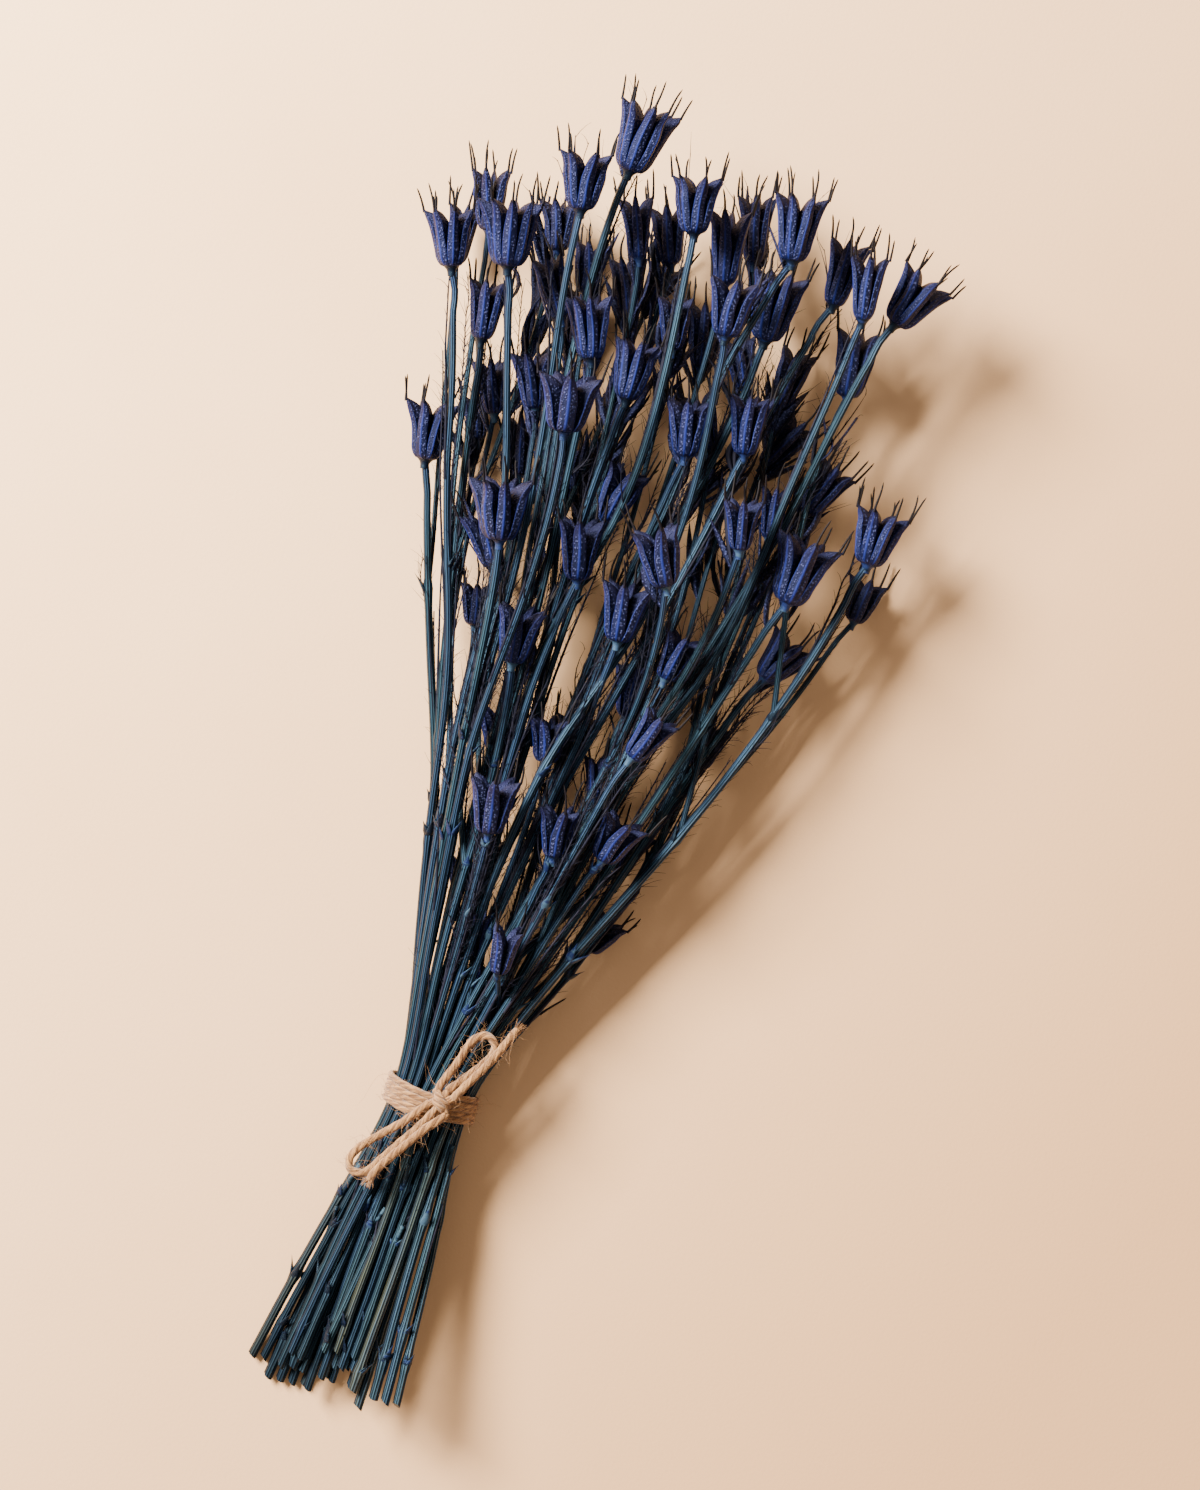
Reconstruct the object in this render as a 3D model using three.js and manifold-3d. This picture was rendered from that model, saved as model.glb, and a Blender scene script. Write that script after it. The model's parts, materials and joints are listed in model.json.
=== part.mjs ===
// A bunch of dried nigella orientalis lying on a flat surface: blue-dyed stems with horned seed
// pods, tied near the foot with jute twine in a bow. Millimetres, +Z up, +Y from the cut ends to
// the pods, origin at the bottom centre of the bunch.
//
// The layout is worked out along the bunch. Every stem and pod is a row of discs, one at each
// station across the bunch, and the discs push each other apart until nothing touches.

import * as THREE from 'three';
import { mergeVertices } from 'three/addons/utils/BufferGeometryUtils.js';
import Module from 'manifold-3d';

const wasm = await Module();
wasm.setup();

// Driving dimensions
const BUNCH_LENGTH = 437;
const CAMERA_HEIGHT = 1500;
const BUNDLE_HALF_WIDTH = 12.2;
const BUNDLE_HALF_HEIGHT = 10;
const TWINE_DIAMETER = 2.7;
const TWINE_TURNS = 5;
const TURN_PITCH = 1.8;
const TWINE_FLATTENING = 0.8;
const TWINE_GAP = 0.3;
const KNOT_RADIUS = 3.3;
const KNOT_HEIGHT = 27.3;
const BEAK_LENGTH = 9;
const BEAK_ROOT_RADIUS = 0.5;
const LEAF_ROOT_RADIUS = 0.42;
const LEAF_LENGTH = 24;

// Places in the photograph, in its pixels
const BUNCH_LENGTH_PIXELS = 1366;
const PHOTO_CENTRE = [600, 745];
const TIE_PIXEL = [431, 1098];
const KNOT_PIXEL = [442, 1102];
const BUNCH_LEAN = 15;

// Routes of the bow's four free stretches: across and down in the photograph, and how far each
// point is lifted, in twines. Each starts at the knot, and the two loops come back to it. The
// tails lie on the loops' returning sides.
const BOW_ROUTES = {
  bow_loop_up: [
    [438, 1091, 0], [442, 1083, 0], [449, 1074, 0], [456, 1065, 0], [462, 1056, 0],
    [468, 1046.5, 0], [475, 1039.5, 0], [483, 1036, 0], [490.5, 1038, 0], [494.5, 1044.5, 0],
    [494, 1052, 0], [489, 1059, 0], [481, 1066.5, 0], [471, 1074, 0], [461, 1081.5, 0],
    [453, 1087, 0], [447.5, 1091, 0],
  ],
  bow_loop_down: [
    [430, 1103, 0], [421, 1109, 0], [411, 1116.5, 0], [400, 1124, 0], [388, 1130.5, 0],
    [376.5, 1137, 0], [365, 1143.5, 0], [355, 1151, 0], [349, 1160, 0], [350, 1168.5, 0],
    [357.5, 1173, 0], [366, 1172, 0], [374, 1166, 0], [383, 1157.5, 0], [393, 1149, 0],
    [403, 1140.5, 0], [413, 1132, 0], [423, 1122.5, 0], [432, 1113.5, 0],
  ],
  bow_tail_up: [
    [453, 1099, 0.3], [461, 1090.5, 0.9], [470, 1081.5, 1], [480, 1072, 1], [489, 1063, 1],
    [497, 1054, 1], [504, 1046, 0.7], [511, 1037.5, 0.3], [518.5, 1029, 0],
  ],
  bow_tail_down: [
    [446, 1114, 0.3], [437, 1121, 0.9], [427, 1127, 1], [416, 1136, 1], [405, 1145, 1],
    [394.5, 1153.5, 1], [384.5, 1162, 1], [377, 1169, 1], [371, 1177, 0.9], [369, 1180.5, 0.8],
  ],
};

// Pods on the main stems: pod base across and down in the photograph, lean from upright in
// degrees, length and width in pixels, follicles, depth in the bunch from 0 (low) to 1 (top),
// and points that the stem is seen to pass.
const MAIN_PODS = [
  [627, 172, 20, 66, 56, 8, 0.8, [[588, 258]]],
  [586, 213, 7, 56, 50, 7, 0.95, [[561, 330], [545, 430], [524, 560]]],
  [507, 268, 5, 64, 58, 8, 0.85, [[507, 340], [510, 440]]],
  [464, 273, -1, 56, 46, 7, 0.6, [[465, 340], [464, 430], [457, 560], [450, 700]]],
  [481, 341, 9, 58, 40, 6, 0.5, []],
  [431, 462, 9, 58, 50, 8, 0.35, [[426, 540], [432, 650], [438, 760]]],
  [597, 361, -1, 62, 46, 7, 0.85, []],
  [630, 402, 14, 58, 46, 7, 0.7, []],
  [693, 234, 4, 55, 48, 7, 0.95, [[680, 310], [662, 400], [648, 490]]],
  [787, 266, 9, 64, 50, 8, 0.7, []],
  [825, 305, 17, 64, 40, 6, 0.5, [[800, 338], [775, 380]]],
  [861, 321, 8, 62, 36, 6, 0.85, [[838, 385], [812, 440], [790, 490], [740, 615], [703, 715]]],
  [888, 325, 37, 56, 54, 8, 0.45, [[838, 402], [815, 460]]],
  [723, 338, 12, 56, 50, 6, 0.95, [[712, 390], [697, 470], [680, 545]]],
  [773, 343, 14, 68, 58, 8, 0.6, [[758, 400]]],
  [566, 435, 8, 56, 60, 5, 1, [[566, 510]]],
  [674, 455, 6, 56, 46, 6, 0.8, []],
  [734, 453, 7, 58, 44, 6, 0.8, []],
  [501, 542, 4, 60, 60, 7, 1, [[501, 600]]],
  [581, 582, 4, 60, 46, 5, 0.95, []],
  [604, 521, 26, 58, 44, 5, 0.8, []],
  [659, 588, -12, 58, 48, 5, 0.95, [[661, 640], [658, 700]]],
  [738, 552, 4, 50, 36, 5, 0.9, [[719, 615], [697, 680]]],
  [851, 562, 18, 54, 54, 8, 0.35, [[815, 645], [785, 700], [715, 795], [650, 872], [600, 912]]],
  [782, 603, 22, 66, 60, 7, 0.7, [[752, 655], [715, 700]]],
  [767, 681, 40, 50, 46, 7, 0.3, [[735, 715], [680, 780]]],
  [699, 769, 18, 46, 40, 5, 0.35, [[680, 810], [650, 865], [600, 940]]],
  [616, 642, 12, 58, 50, 6, 0.95, [[607, 690]]],
  [511, 663, 12, 56, 48, 6, 0.95, [[507, 720], [505, 780]]],
  [665, 680, 26, 48, 40, 5, 0.85, []],
  [632, 759, 38, 52, 38, 5, 0.95, [[600, 800], [572, 836]]],
  [488, 833, 8, 56, 48, 5, 0.95, [[474, 900], [462, 945]]],
  [590, 858, 30, 48, 46, 5, 0.95, [[562, 897], [535, 940]]],
  [552, 857, 8, 50, 40, 5, 0.95, []],
];

// Pods on side branches, in the same columns
const SIDE_PODS = [
  [489, 230, 3, 60, 40, 6, 0.5],
  [458, 262, 10, 58, 34, 5, 0.3],
  [563, 251, 5, 50, 40, 6, 0.35],
  [561, 319, -12, 62, 34, 6, 0.55],
  [573, 347, 10, 58, 36, 5, 0],
  [598, 300, 8, 50, 36, 5, 0.25],
  [640, 262, -3, 60, 32, 5, 0.4],
  [668, 263, -3, 58, 40, 6, 0.4],
  [727, 287, 5, 72, 42, 6, 0.55],
  [754, 264, 3, 66, 36, 6, 0.3],
  [668, 350, 4, 52, 36, 5, 0.45],
  [694, 366, 6, 64, 36, 5, 0.2],
  [749, 391, -8, 50, 34, 5, 0.35],
  [836, 394, 12, 66, 48, 6, 0.4],
  [793, 412, 22, 62, 38, 5, 0.25],
  [755, 465, 44, 60, 36, 5, 0],
  [800, 512, 38, 56, 38, 6, 0.4],
  [786, 545, 30, 54, 32, 5, 0],
  [847, 621, 22, 44, 38, 5, 0],
  [773, 541, 8, 52, 30, 5, 0.55],
  [700, 503, 44, 40, 24, 4, 0.1],
  [478, 441, -3, 46, 30, 5, 0],
  [496, 415, -4, 54, 34, 5, 0.35],
  [531, 409, -3, 56, 42, 6, 0.4],
  [521, 476, 2, 60, 34, 5, 0.25],
  [491, 567, -14, 56, 40, 5, 0.5],
  [468, 624, 8, 42, 38, 5, 0.5],
  [523, 685, 14, 44, 26, 4, 0.6],
  [503, 754, 0, 48, 40, 5, 0.6],
  [543, 762, 7, 45, 44, 6, 0.85],
  [572, 766, 10, 50, 38, 5, 0.6],
  [626, 717, 10, 52, 38, 5, 0.65],
  [594, 799, 5, 42, 24, 4, 0.7],
  [628, 875, 25, 46, 42, 5, 0.3],
  [455, 887, 10, 32, 20, 3, 0.45],
  [493, 875, 7, 36, 22, 3, 0.6],
  [566, 905, 5, 40, 20, 3, 0.5],
  [470, 955, 10, 45, 20, 3, 0.9],
  [499, 973, 14, 48, 34, 4, 1],
  [467, 998, 24, 38, 28, 4, 0.9],
  [584, 950, 40, 40, 36, 4, 0.3],
  [517, 1028, 46, 28, 18, 3, 0.2],
  [632, 318, -2, 60, 38, 6, 0.3],
  [645, 312, 26, 54, 34, 5, 0.15],
  [712, 452, -12, 58, 38, 5, 0.4],
  [558, 500, -2, 50, 36, 5, 0.2],
  [584, 500, 8, 50, 34, 5, 0.2],
];

// Layout settings
const STATION_STEP = 5;
const FOOT_REACH = 105;
const HEAD_REACH = 350;
const STATION_COUNT = (FOOT_REACH + HEAD_REACH) / STATION_STEP + 1;
const LAYOUT_ROUNDS = 900;
const SETTLING_ROUNDS = 300;
const CLEARANCE = 0.6;
const NECK_LENGTH = 9;
const BAND_REACH = 8;
const BOW_REACH = 38;
const BOW_CEILING = 23.4;
const BOW_CEILING_RISE = 0.05;
const MAX_BRANCH_LENGTH = 105;
const LOWEST_FORK = 15;
const BRANCH_SHARE = 0.86;
const FORKED_AWAY = 14;
const POD_WEIGHT = 0.3;
const MOST_SHARED_PUSHES = 3;
const MAX_SLANT = 1.5;
const FLOOR_GAP = 0.2;
const FOOT_FLARE = 0.24;
const BUNDLE_HEIGHT = BUNDLE_HALF_HEIGHT + TWINE_GAP + TWINE_DIAMETER - TWINE_FLATTENING;

// How the straight stems pass through the tie: they widen by SPREAD and turn round each other
const SPREAD = 0.006;
const TWIST_ACROSS = 0.03;
const TWIST_UP = 0.01;

// The fan of cut ends: place in the row from left to right, and distance across
const FOOT_PLACES = [[0, -34], [0.03, -25.5], [0.91, 3], [0.955, 9.5], [1, 14.5]];

const radians = THREE.MathUtils.degToRad;
const lerp = THREE.MathUtils.lerp;

// Linear congruential draws, so that every run grows the same bunch
function makeRandom(seed) {
  let state = seed;
  return () => {
    state = (state * 1664525 + 1013904223) % 4294967296;
    return state / 4294967296;
  };
}

// Place of a photographed point, height z above the surface, before the tie is taken as zero
function photoToSurface([across, down], z) {
  const scale = (BUNCH_LENGTH / BUNCH_LENGTH_PIXELS) * (1 - z / CAMERA_HEIGHT);
  const right = (across - PHOTO_CENTRE[0]) * scale;
  const up = (PHOTO_CENTRE[1] - down) * scale;
  const turn = radians(BUNCH_LEAN);
  return [
    right * Math.cos(turn) - up * Math.sin(turn),
    right * Math.sin(turn) + up * Math.cos(turn),
  ];
}

const TIE = photoToSurface(TIE_PIXEL, BUNDLE_HEIGHT);

// The same measured from the tie: x across the bunch, y along it towards the pods
function photoToBunch(pixel, z) {
  const [x, y] = photoToSurface(pixel, z);
  return [x - TIE[0], y - TIE[1]];
}

function stationY(index) {
  return index * STATION_STEP - FOOT_REACH;
}

function stationAt(y) {
  return Math.round((y + FOOT_REACH) / STATION_STEP);
}

// Height of the top of the bunch at a distance from the tie
function crownHeight(y) {
  return Math.min(20 + 0.13 * y, 52);
}

// A pod's outline: share of its length, share of its half width
const POD_PROFILE = [[0, 0.2], [0.14, 0.56], [0.6, 0.84], [0.88, 1.04], [1, 1.1], [1.45, 1.25]];

// A value between the listed ones: each point is a place and the value there
function valueAt(points, place) {
  let last = points[0];
  for (const point of points) {
    if (place < point[0]) {
      return lerp(last[1], point[1], (place - last[0]) / (point[0] - last[0]));
    }
    last = point;
  }
  return last[1];
}

function podRadiusAt(share) {
  return valueAt(POD_PROFILE, share);
}

// One stem or branch with its pod, from a row of a table above
function makeShoot(row, order) {
  const [across, down, lean, lengthPixels, widthPixels, follicles, depth, seen] = row;
  const random = makeRandom(1000 + order);
  const scale = BUNCH_LENGTH / BUNCH_LENGTH_PIXELS;
  const podLength = lengthPixels * scale;
  const podRadius = (widthPixels * scale) / 2;
  const roughY = photoToBunch([across, down], podRadius)[1];
  const height = podRadius + depth * Math.max(crownHeight(roughY) - podRadius, 0);
  const [x, y] = photoToBunch([across, down], height);
  const leanAcross = Math.tan(radians(lean - BUNCH_LEAN));
  const leanUp = THREE.MathUtils.clamp((0.7 * (height - BUNDLE_HEIGHT)) / y, -0.25, 0.25);
  const stretch = Math.hypot(1, leanAcross, leanUp);
  const beakEnd = y + (podLength + BEAK_LENGTH) / stretch;
  return {
    random, podLength, podRadius, follicles, leanAcross, leanUp, stretch,
    seen: seen ?? [],
    baseX: x, baseY: y, baseZ: height, aimX: x, aimZ: height,
    roll: random() * 2 * Math.PI,
    stemRadius: 0.72 + 0.075 * follicles,
    lastFree: Math.floor((y - NECK_LENGTH + FOOT_REACH) / STATION_STEP),
    top: Math.min(Math.ceil((beakEnd + FOOT_REACH) / STATION_STEP), STATION_COUNT - 1),
    parent: null,
    branches: 0,
    xs: new Float64Array(STATION_COUNT),
    zs: new Float64Array(STATION_COUNT),
    radii: new Float64Array(STATION_COUNT),
    aims: [],
  };
}

// The straight line of a main stem through the tie, which also sets where it is cut
function layMainStem(shoot) {
  const y = shoot.baseY;
  const x = shoot.aimX;
  const z = shoot.aimZ - BUNDLE_HEIGHT;
  const widen = 1 + SPREAD * y;
  const across = TWIST_ACROSS * y;
  const up = TWIST_UP * y;
  const size = widen * widen + across * up;
  const tieX = (x * widen - z * across) / size;
  const tieZ = (z * widen + x * up) / size;
  shoot.first = stationAt(-FOOT_REACH + 2 + shoot.random() * 14 + 0.45 * Math.max(tieZ, 0));
  for (let k = 0; k < STATION_COUNT; k += 1) {
    const along = stationY(k);
    const grown = 1 + SPREAD * along;
    shoot.xs[k] = tieX * grown + TWIST_ACROSS * tieZ * along;
    shoot.zs[k] = BUNDLE_HEIGHT + tieZ * grown - TWIST_UP * tieX * along;
  }
  for (const pixel of shoot.seen) {
    const [seenX, seenY] = photoToBunch(pixel, 0.8 * shoot.aimZ);
    shoot.aims.push([stationAt(seenY), seenX]);
  }
}

// Below the tie the stems turn aside, each to its place in the fan of cut ends
function fanOutFeet(stems) {
  const tied = stationAt(0);
  const order = [...stems].sort((one, other) => one.xs[tied] - other.xs[tied]);
  order.forEach((stem, rank) => {
    const place = valueAt(FOOT_PLACES, rank / (order.length - 1));
    const turn = (place - stem.xs[stem.first]) / stationY(stem.first);
    for (let k = stem.first; stationY(k) < 0; k += 1) {
      stem.xs[k] += turn * stationY(k);
    }
  });
}

// A branch leaves the main stem that passes nearest to it, and rather one with few branches
function layBranch(shoot, stems) {
  const length = Math.min(0.55 * (shoot.baseY - LOWEST_FORK), MAX_BRANCH_LENGTH);
  const wanted = stationAt(Math.max(shoot.baseY - length, LOWEST_FORK));
  const start = Math.min(wanted, shoot.lastFree - 1);
  let nearest = Infinity;
  for (const stem of stems) {
    if (stem.lastFree > start + 2) {
      const away = Math.hypot(stem.xs[start] - shoot.aimX * 0.8, stem.zs[start] - shoot.aimZ * 0.8);
      const cost = away + FORKED_AWAY * stem.branches;
      if (cost < nearest) {
        nearest = cost;
        shoot.parent = stem;
      }
    }
  }
  shoot.parent.branches += 1;
  shoot.first = start;
  shoot.stemRadius *= BRANCH_SHARE;
  for (let k = start; k <= shoot.lastFree; k += 1) {
    const share = (k - start) / (shoot.lastFree + 1 - start);
    shoot.xs[k] = lerp(shoot.parent.xs[start], shoot.aimX, share);
    shoot.zs[k] = lerp(shoot.parent.zs[start], shoot.aimZ, share);
  }
}

// Neck, pod and beaks keep straight: their stations follow the pod's base
function alignPod(shoot) {
  for (let k = shoot.lastFree + 1; k <= shoot.top; k += 1) {
    const along = stationY(k) - shoot.baseY;
    shoot.xs[k] = shoot.baseX + shoot.leanAcross * along;
    shoot.zs[k] = shoot.baseZ + shoot.leanUp * along;
  }
}

// A pod's disc is as wide as the pod gets by the middle of the next step
function sizePodDiscs(shoot) {
  for (let k = shoot.lastFree + 1; k <= shoot.top; k += 1) {
    const along = stationY(k) + STATION_STEP / 2 - shoot.baseY;
    const share = (along * shoot.stretch) / shoot.podLength;
    const podDisc = shoot.podRadius * podRadiusAt(share) * Math.hypot(1, shoot.leanAcross);
    shoot.radii[k] = share < 0 ? shoot.stemRadius : Math.max(podDisc, shoot.stemRadius);
  }
}

// Stems thicken from the tie to their cut ends
function stemRadiusAt(shoot, y) {
  return shoot.stemRadius * (1 + (FOOT_FLARE * Math.max(-y, 0)) / FOOT_REACH);
}

// A slanting stem is cut by the station's plane in a wider disc
function sizeStemDiscs(shoot) {
  for (let k = shoot.first; k <= shoot.lastFree; k += 1) {
    const slopeX = (shoot.xs[k + 1] - shoot.xs[k]) / STATION_STEP;
    const slopeZ = (shoot.zs[k + 1] - shoot.zs[k]) / STATION_STEP;
    const slant = Math.min(Math.hypot(1, slopeX, slopeZ), MAX_SLANT);
    shoot.radii[k] = stemRadiusAt(shoot, stationY(k)) * slant;
  }
}

// Discs of two shoots push each other apart, at one station or halfway to the next
function pushPair(one, other, k, next) {
  const forked = one.parent === other ? one : other.parent === one ? other : null;
  if (forked && k < forked.first + 4) {
    return;
  }
  const dx = (one.xs[k] + one.xs[next] - other.xs[k] - other.xs[next]) / 2;
  const dz = (one.zs[k] + one.zs[next] - other.zs[k] - other.zs[next]) / 2;
  const need = (one.radii[k] + one.radii[next] + other.radii[k] + other.radii[next]) / 2 + CLEARANCE;
  const away = Math.hypot(dx, dz);
  if (away >= need || away === 0) {
    return;
  }
  const oneWeight = k > one.lastFree ? POD_WEIGHT : 1;
  const otherWeight = k > other.lastFree ? POD_WEIGHT : 1;
  const push = (need - away) / away / (oneWeight + otherWeight);
  for (let station = k; station <= next; station += 1) {
    one.pushX[station] += dx * push * oneWeight;
    one.pushZ[station] += dz * push * oneWeight;
    other.pushX[station] -= dx * push * otherWeight;
    other.pushZ[station] -= dz * push * otherWeight;
    one.hits[station] += 1;
    other.hits[station] += 1;
  }
}

function pushAll(shoots) {
  for (const shoot of shoots) {
    shoot.pushX = new Float64Array(STATION_COUNT);
    shoot.pushZ = new Float64Array(STATION_COUNT);
    shoot.hits = new Uint8Array(STATION_COUNT);
  }
  for (let half = 0; half < 2 * STATION_COUNT - 1; half += 1) {
    const k = Math.floor(half / 2);
    const next = Math.ceil(half / 2);
    const here = shoots.filter((shoot) => shoot.first <= k && next <= shoot.top);
    for (let i = 0; i < here.length; i += 1) {
      for (let j = i + 1; j < here.length; j += 1) {
        pushPair(here[i], here[j], k, next);
      }
    }
  }
}

// Stems straighten between their neighbours at the next stations
function smoothStem(shoot, strength) {
  const xs = shoot.xs.slice();
  const zs = shoot.zs.slice();
  const start = shoot.parent ? shoot.first + 1 : shoot.first;
  for (let k = start; k <= shoot.lastFree; k += 1) {
    const before = k === shoot.first ? k + 1 : k - 1;
    const after = k + 1;
    const pullX = k === shoot.first ? 0 : (xs[before] + xs[after]) / 2 - xs[k];
    const pullZ = k === shoot.first ? 0 : (zs[before] + zs[after]) / 2 - zs[k];
    shoot.xs[k] += strength * pullX;
    shoot.zs[k] += strength * pullZ;
  }
}

// The surface below, the twine's oval and the bow above hold the discs in
function holdIn(shoot, k) {
  const y = stationY(k);
  const radius = shoot.radii[k];
  let x = shoot.xs[k];
  let z = Math.max(shoot.zs[k], radius + FLOOR_GAP);
  if (Math.abs(y) <= BAND_REACH) {
    const wide = BUNDLE_HALF_WIDTH - radius;
    const high = BUNDLE_HALF_HEIGHT - radius;
    const out = Math.hypot(x / wide, (z - BUNDLE_HEIGHT) / high);
    if (out > 1) {
      x /= out;
      z = BUNDLE_HEIGHT + (z - BUNDLE_HEIGHT) / out;
    }
  }
  if (Math.abs(y) <= BOW_REACH) {
    z = Math.min(z, BOW_CEILING + BOW_CEILING_RISE * Math.abs(y) - radius);
  }
  return [x - shoot.xs[k], z - shoot.zs[k]];
}

function moveShoot(shoot, settled) {
  let podX = 0;
  let podZ = 0;
  let podHits = 0;
  for (let k = shoot.first; k <= shoot.top; k += 1) {
    if (k <= shoot.lastFree) {
      const shared = THREE.MathUtils.clamp(shoot.hits[k], 1, MOST_SHARED_PUSHES);
      shoot.xs[k] += shoot.pushX[k] / shared;
      shoot.zs[k] += shoot.pushZ[k] / shared;
    } else if (shoot.hits[k] > 0) {
      podX += shoot.pushX[k];
      podZ += shoot.pushZ[k];
      podHits += 1;
    }
  }
  if (podHits > 0) {
    shoot.baseX += podX / podHits;
    shoot.baseZ += podZ / podHits;
  }
  const pull = 1 - settled;
  shoot.baseX += 0.08 * pull * (shoot.aimX - shoot.baseX);
  shoot.baseZ += 0.02 * pull * (shoot.aimZ - shoot.baseZ);
  for (const [k, x] of shoot.aims) {
    shoot.xs[k] += 0.3 * pull * (x - shoot.xs[k]);
  }
  alignPod(shoot);
  smoothStem(shoot, lerp(0.45, 0.12, settled));
  if (shoot.parent) {
    shoot.xs[shoot.first] = shoot.parent.xs[shoot.first];
    shoot.zs[shoot.first] = shoot.parent.zs[shoot.first];
  }
  let lift = 0;
  let lower = 0;
  for (let k = shoot.first; k <= shoot.top; k += 1) {
    const [shiftX, shiftZ] = holdIn(shoot, k);
    if (k <= shoot.lastFree) {
      shoot.xs[k] += shiftX;
      shoot.zs[k] += shiftZ;
    } else {
      lift = Math.max(lift, shiftZ);
      lower = Math.min(lower, shiftZ);
    }
  }
  shoot.baseZ += lift + lower;
  alignPod(shoot);
  sizeStemDiscs(shoot);
}

function layOutBunch() {
  const stems = MAIN_PODS.map((row, index) => makeShoot(row, index));
  stems.forEach(layMainStem);
  fanOutFeet(stems);
  const branches = SIDE_PODS.map((row, index) => makeShoot(row, MAIN_PODS.length + index));
  branches.forEach((branch) => layBranch(branch, stems));
  const shoots = [...stems, ...branches];
  for (const shoot of shoots) {
    alignPod(shoot);
    sizePodDiscs(shoot);
    sizeStemDiscs(shoot);
  }
  for (let round = 0; round < LAYOUT_ROUNDS; round += 1) {
    const left = LAYOUT_ROUNDS - round;
    const settled = left > SETTLING_ROUNDS ? 0 : 1 - left / SETTLING_ROUNDS;
    pushAll(shoots);
    for (const shoot of shoots) {
      moveShoot(shoot, settled);
    }
  }
  return { stems, branches, shoots };
}

// A closed mesh built ring by ring. A ring's points run counter-clockwise seen from its far side.
class RingMesh {
  constructor() {
    this.points = [];
    this.triangles = [];
  }

  add(point) {
    this.points.push(point);
    return this.points.length - 1;
  }

  // Frame across a direction: side is level, lift points up
  static frame(direction) {
    const along = direction.clone().normalize();
    const side = new THREE.Vector3().crossVectors(along, new THREE.Vector3(0, 0, 1)).normalize();
    const lift = new THREE.Vector3().crossVectors(side, along);
    return { along, side, lift };
  }

  static polar(centre, frame, angle, radius, rise = 0) {
    return centre.clone()
      .addScaledVector(frame.side, Math.cos(angle) * radius)
      .addScaledVector(frame.lift, Math.sin(angle) * radius)
      .addScaledVector(frame.along, rise);
  }

  ring(centre, direction, angles, radii, rises = []) {
    const frame = RingMesh.frame(direction);
    return angles.map((angle, i) => {
      const radius = Array.isArray(radii) ? radii[i] : radii;
      return this.add(RingMesh.polar(centre, frame, angle, radius, rises[i] ?? 0));
    });
  }

  // Joins two rings of any counts. Their angles tell which point is next.
  bridge(low, lowAngles, high, highAngles) {
    let i = 0;
    let j = 0;
    while (i < low.length || j < high.length) {
      const nextLow = i < low.length ? RingMesh.unwrapped(lowAngles, i + 1) : Infinity;
      const nextHigh = j < high.length ? RingMesh.unwrapped(highAngles, j + 1) : Infinity;
      const a = low[i % low.length];
      const b = high[j % high.length];
      if (nextLow <= nextHigh) {
        this.triangles.push([a, b, low[(i + 1) % low.length]]);
        i += 1;
      } else {
        this.triangles.push([a, b, high[(j + 1) % high.length]]);
        j += 1;
      }
    }
  }

  static unwrapped(angles, index) {
    const turns = Math.floor(index / angles.length);
    return angles[index % angles.length] + turns * 2 * Math.PI;
  }

  capStart(ring) {
    for (let i = 1; i + 1 < ring.length; i += 1) {
      this.triangles.push([ring[0], ring[i], ring[i + 1]]);
    }
  }

  capPoint(ring, point) {
    const tip = this.add(point);
    ring.forEach((a, i) => this.triangles.push([a, tip, ring[(i + 1) % ring.length]]));
  }

  toSolid() {
    const vertProperties = new Float32Array(this.points.flatMap((point) => point.toArray()));
    const triVerts = new Uint32Array(this.triangles.flat());
    return new wasm.Manifold(new wasm.Mesh({ numProp: 3, vertProperties, triVerts }));
  }
}

const STEM_ANGLES = [0.25, 0.75, 1.25, 1.75].map((turn) => turn * Math.PI);
const SLANTED_CUT = [-0.9, 0.5, 0.9, -0.5];
const CHORD_TOLERANCE = 0.25;

// Points of a stem's centre line, with those left out that a straight chord nearly meets
function stemPoints(shoot) {
  const all = [];
  for (let k = shoot.first; k <= shoot.lastFree; k += 1) {
    all.push(new THREE.Vector3(shoot.xs[k], stationY(k), shoot.zs[k]));
  }
  const base = new THREE.Vector3(shoot.baseX, shoot.baseY, shoot.baseZ);
  const axis = new THREE.Vector3(shoot.leanAcross, 1, shoot.leanUp);
  all.push(base.clone().addScaledVector(axis, -NECK_LENGTH * 0.6));
  all.push(base);
  const kept = [all[0]];
  let from = 0;
  for (let to = 2; to < all.length; to += 1) {
    const chord = new THREE.Line3(all[from], all[to]);
    const strays = all.slice(from + 1, to).some((point) => {
      const near = chord.closestPointToPoint(point, true, new THREE.Vector3());
      return near.distanceTo(point) > CHORD_TOLERANCE;
    });
    if (strays) {
      kept.push(all[to - 1]);
      from = to - 1;
    }
  }
  kept.push(base);
  return kept;
}

function tangentAt(points, index) {
  const before = points[Math.max(index - 1, 0)];
  const after = points[Math.min(index + 1, points.length - 1)];
  return after.clone().sub(before);
}

// One shoot as a closed solid: stem rings, then the pod's cup, then a horn for each follicle
function shootSolid(shoot) {
  const mesh = new RingMesh();
  const points = stemPoints(shoot);
  const axis = new THREE.Vector3(shoot.leanAcross, 1, shoot.leanUp).normalize();
  let ring = null;
  points.forEach((point, index) => {
    const last = index === points.length - 1;
    const tangent = last ? axis : tangentAt(points, index);
    const cut = index === 0 && !shoot.parent ? SLANTED_CUT : [];
    const next = mesh.ring(point, tangent, STEM_ANGLES, stemRadiusAt(shoot, point.y), cut);
    if (ring) {
      mesh.bridge(ring, STEM_ANGLES, next, STEM_ANGLES);
    } else {
      mesh.capStart(next);
    }
    ring = next;
  });
  addPod(mesh, shoot, points.at(-1), axis, ring);
  return mesh.toSolid();
}

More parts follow.
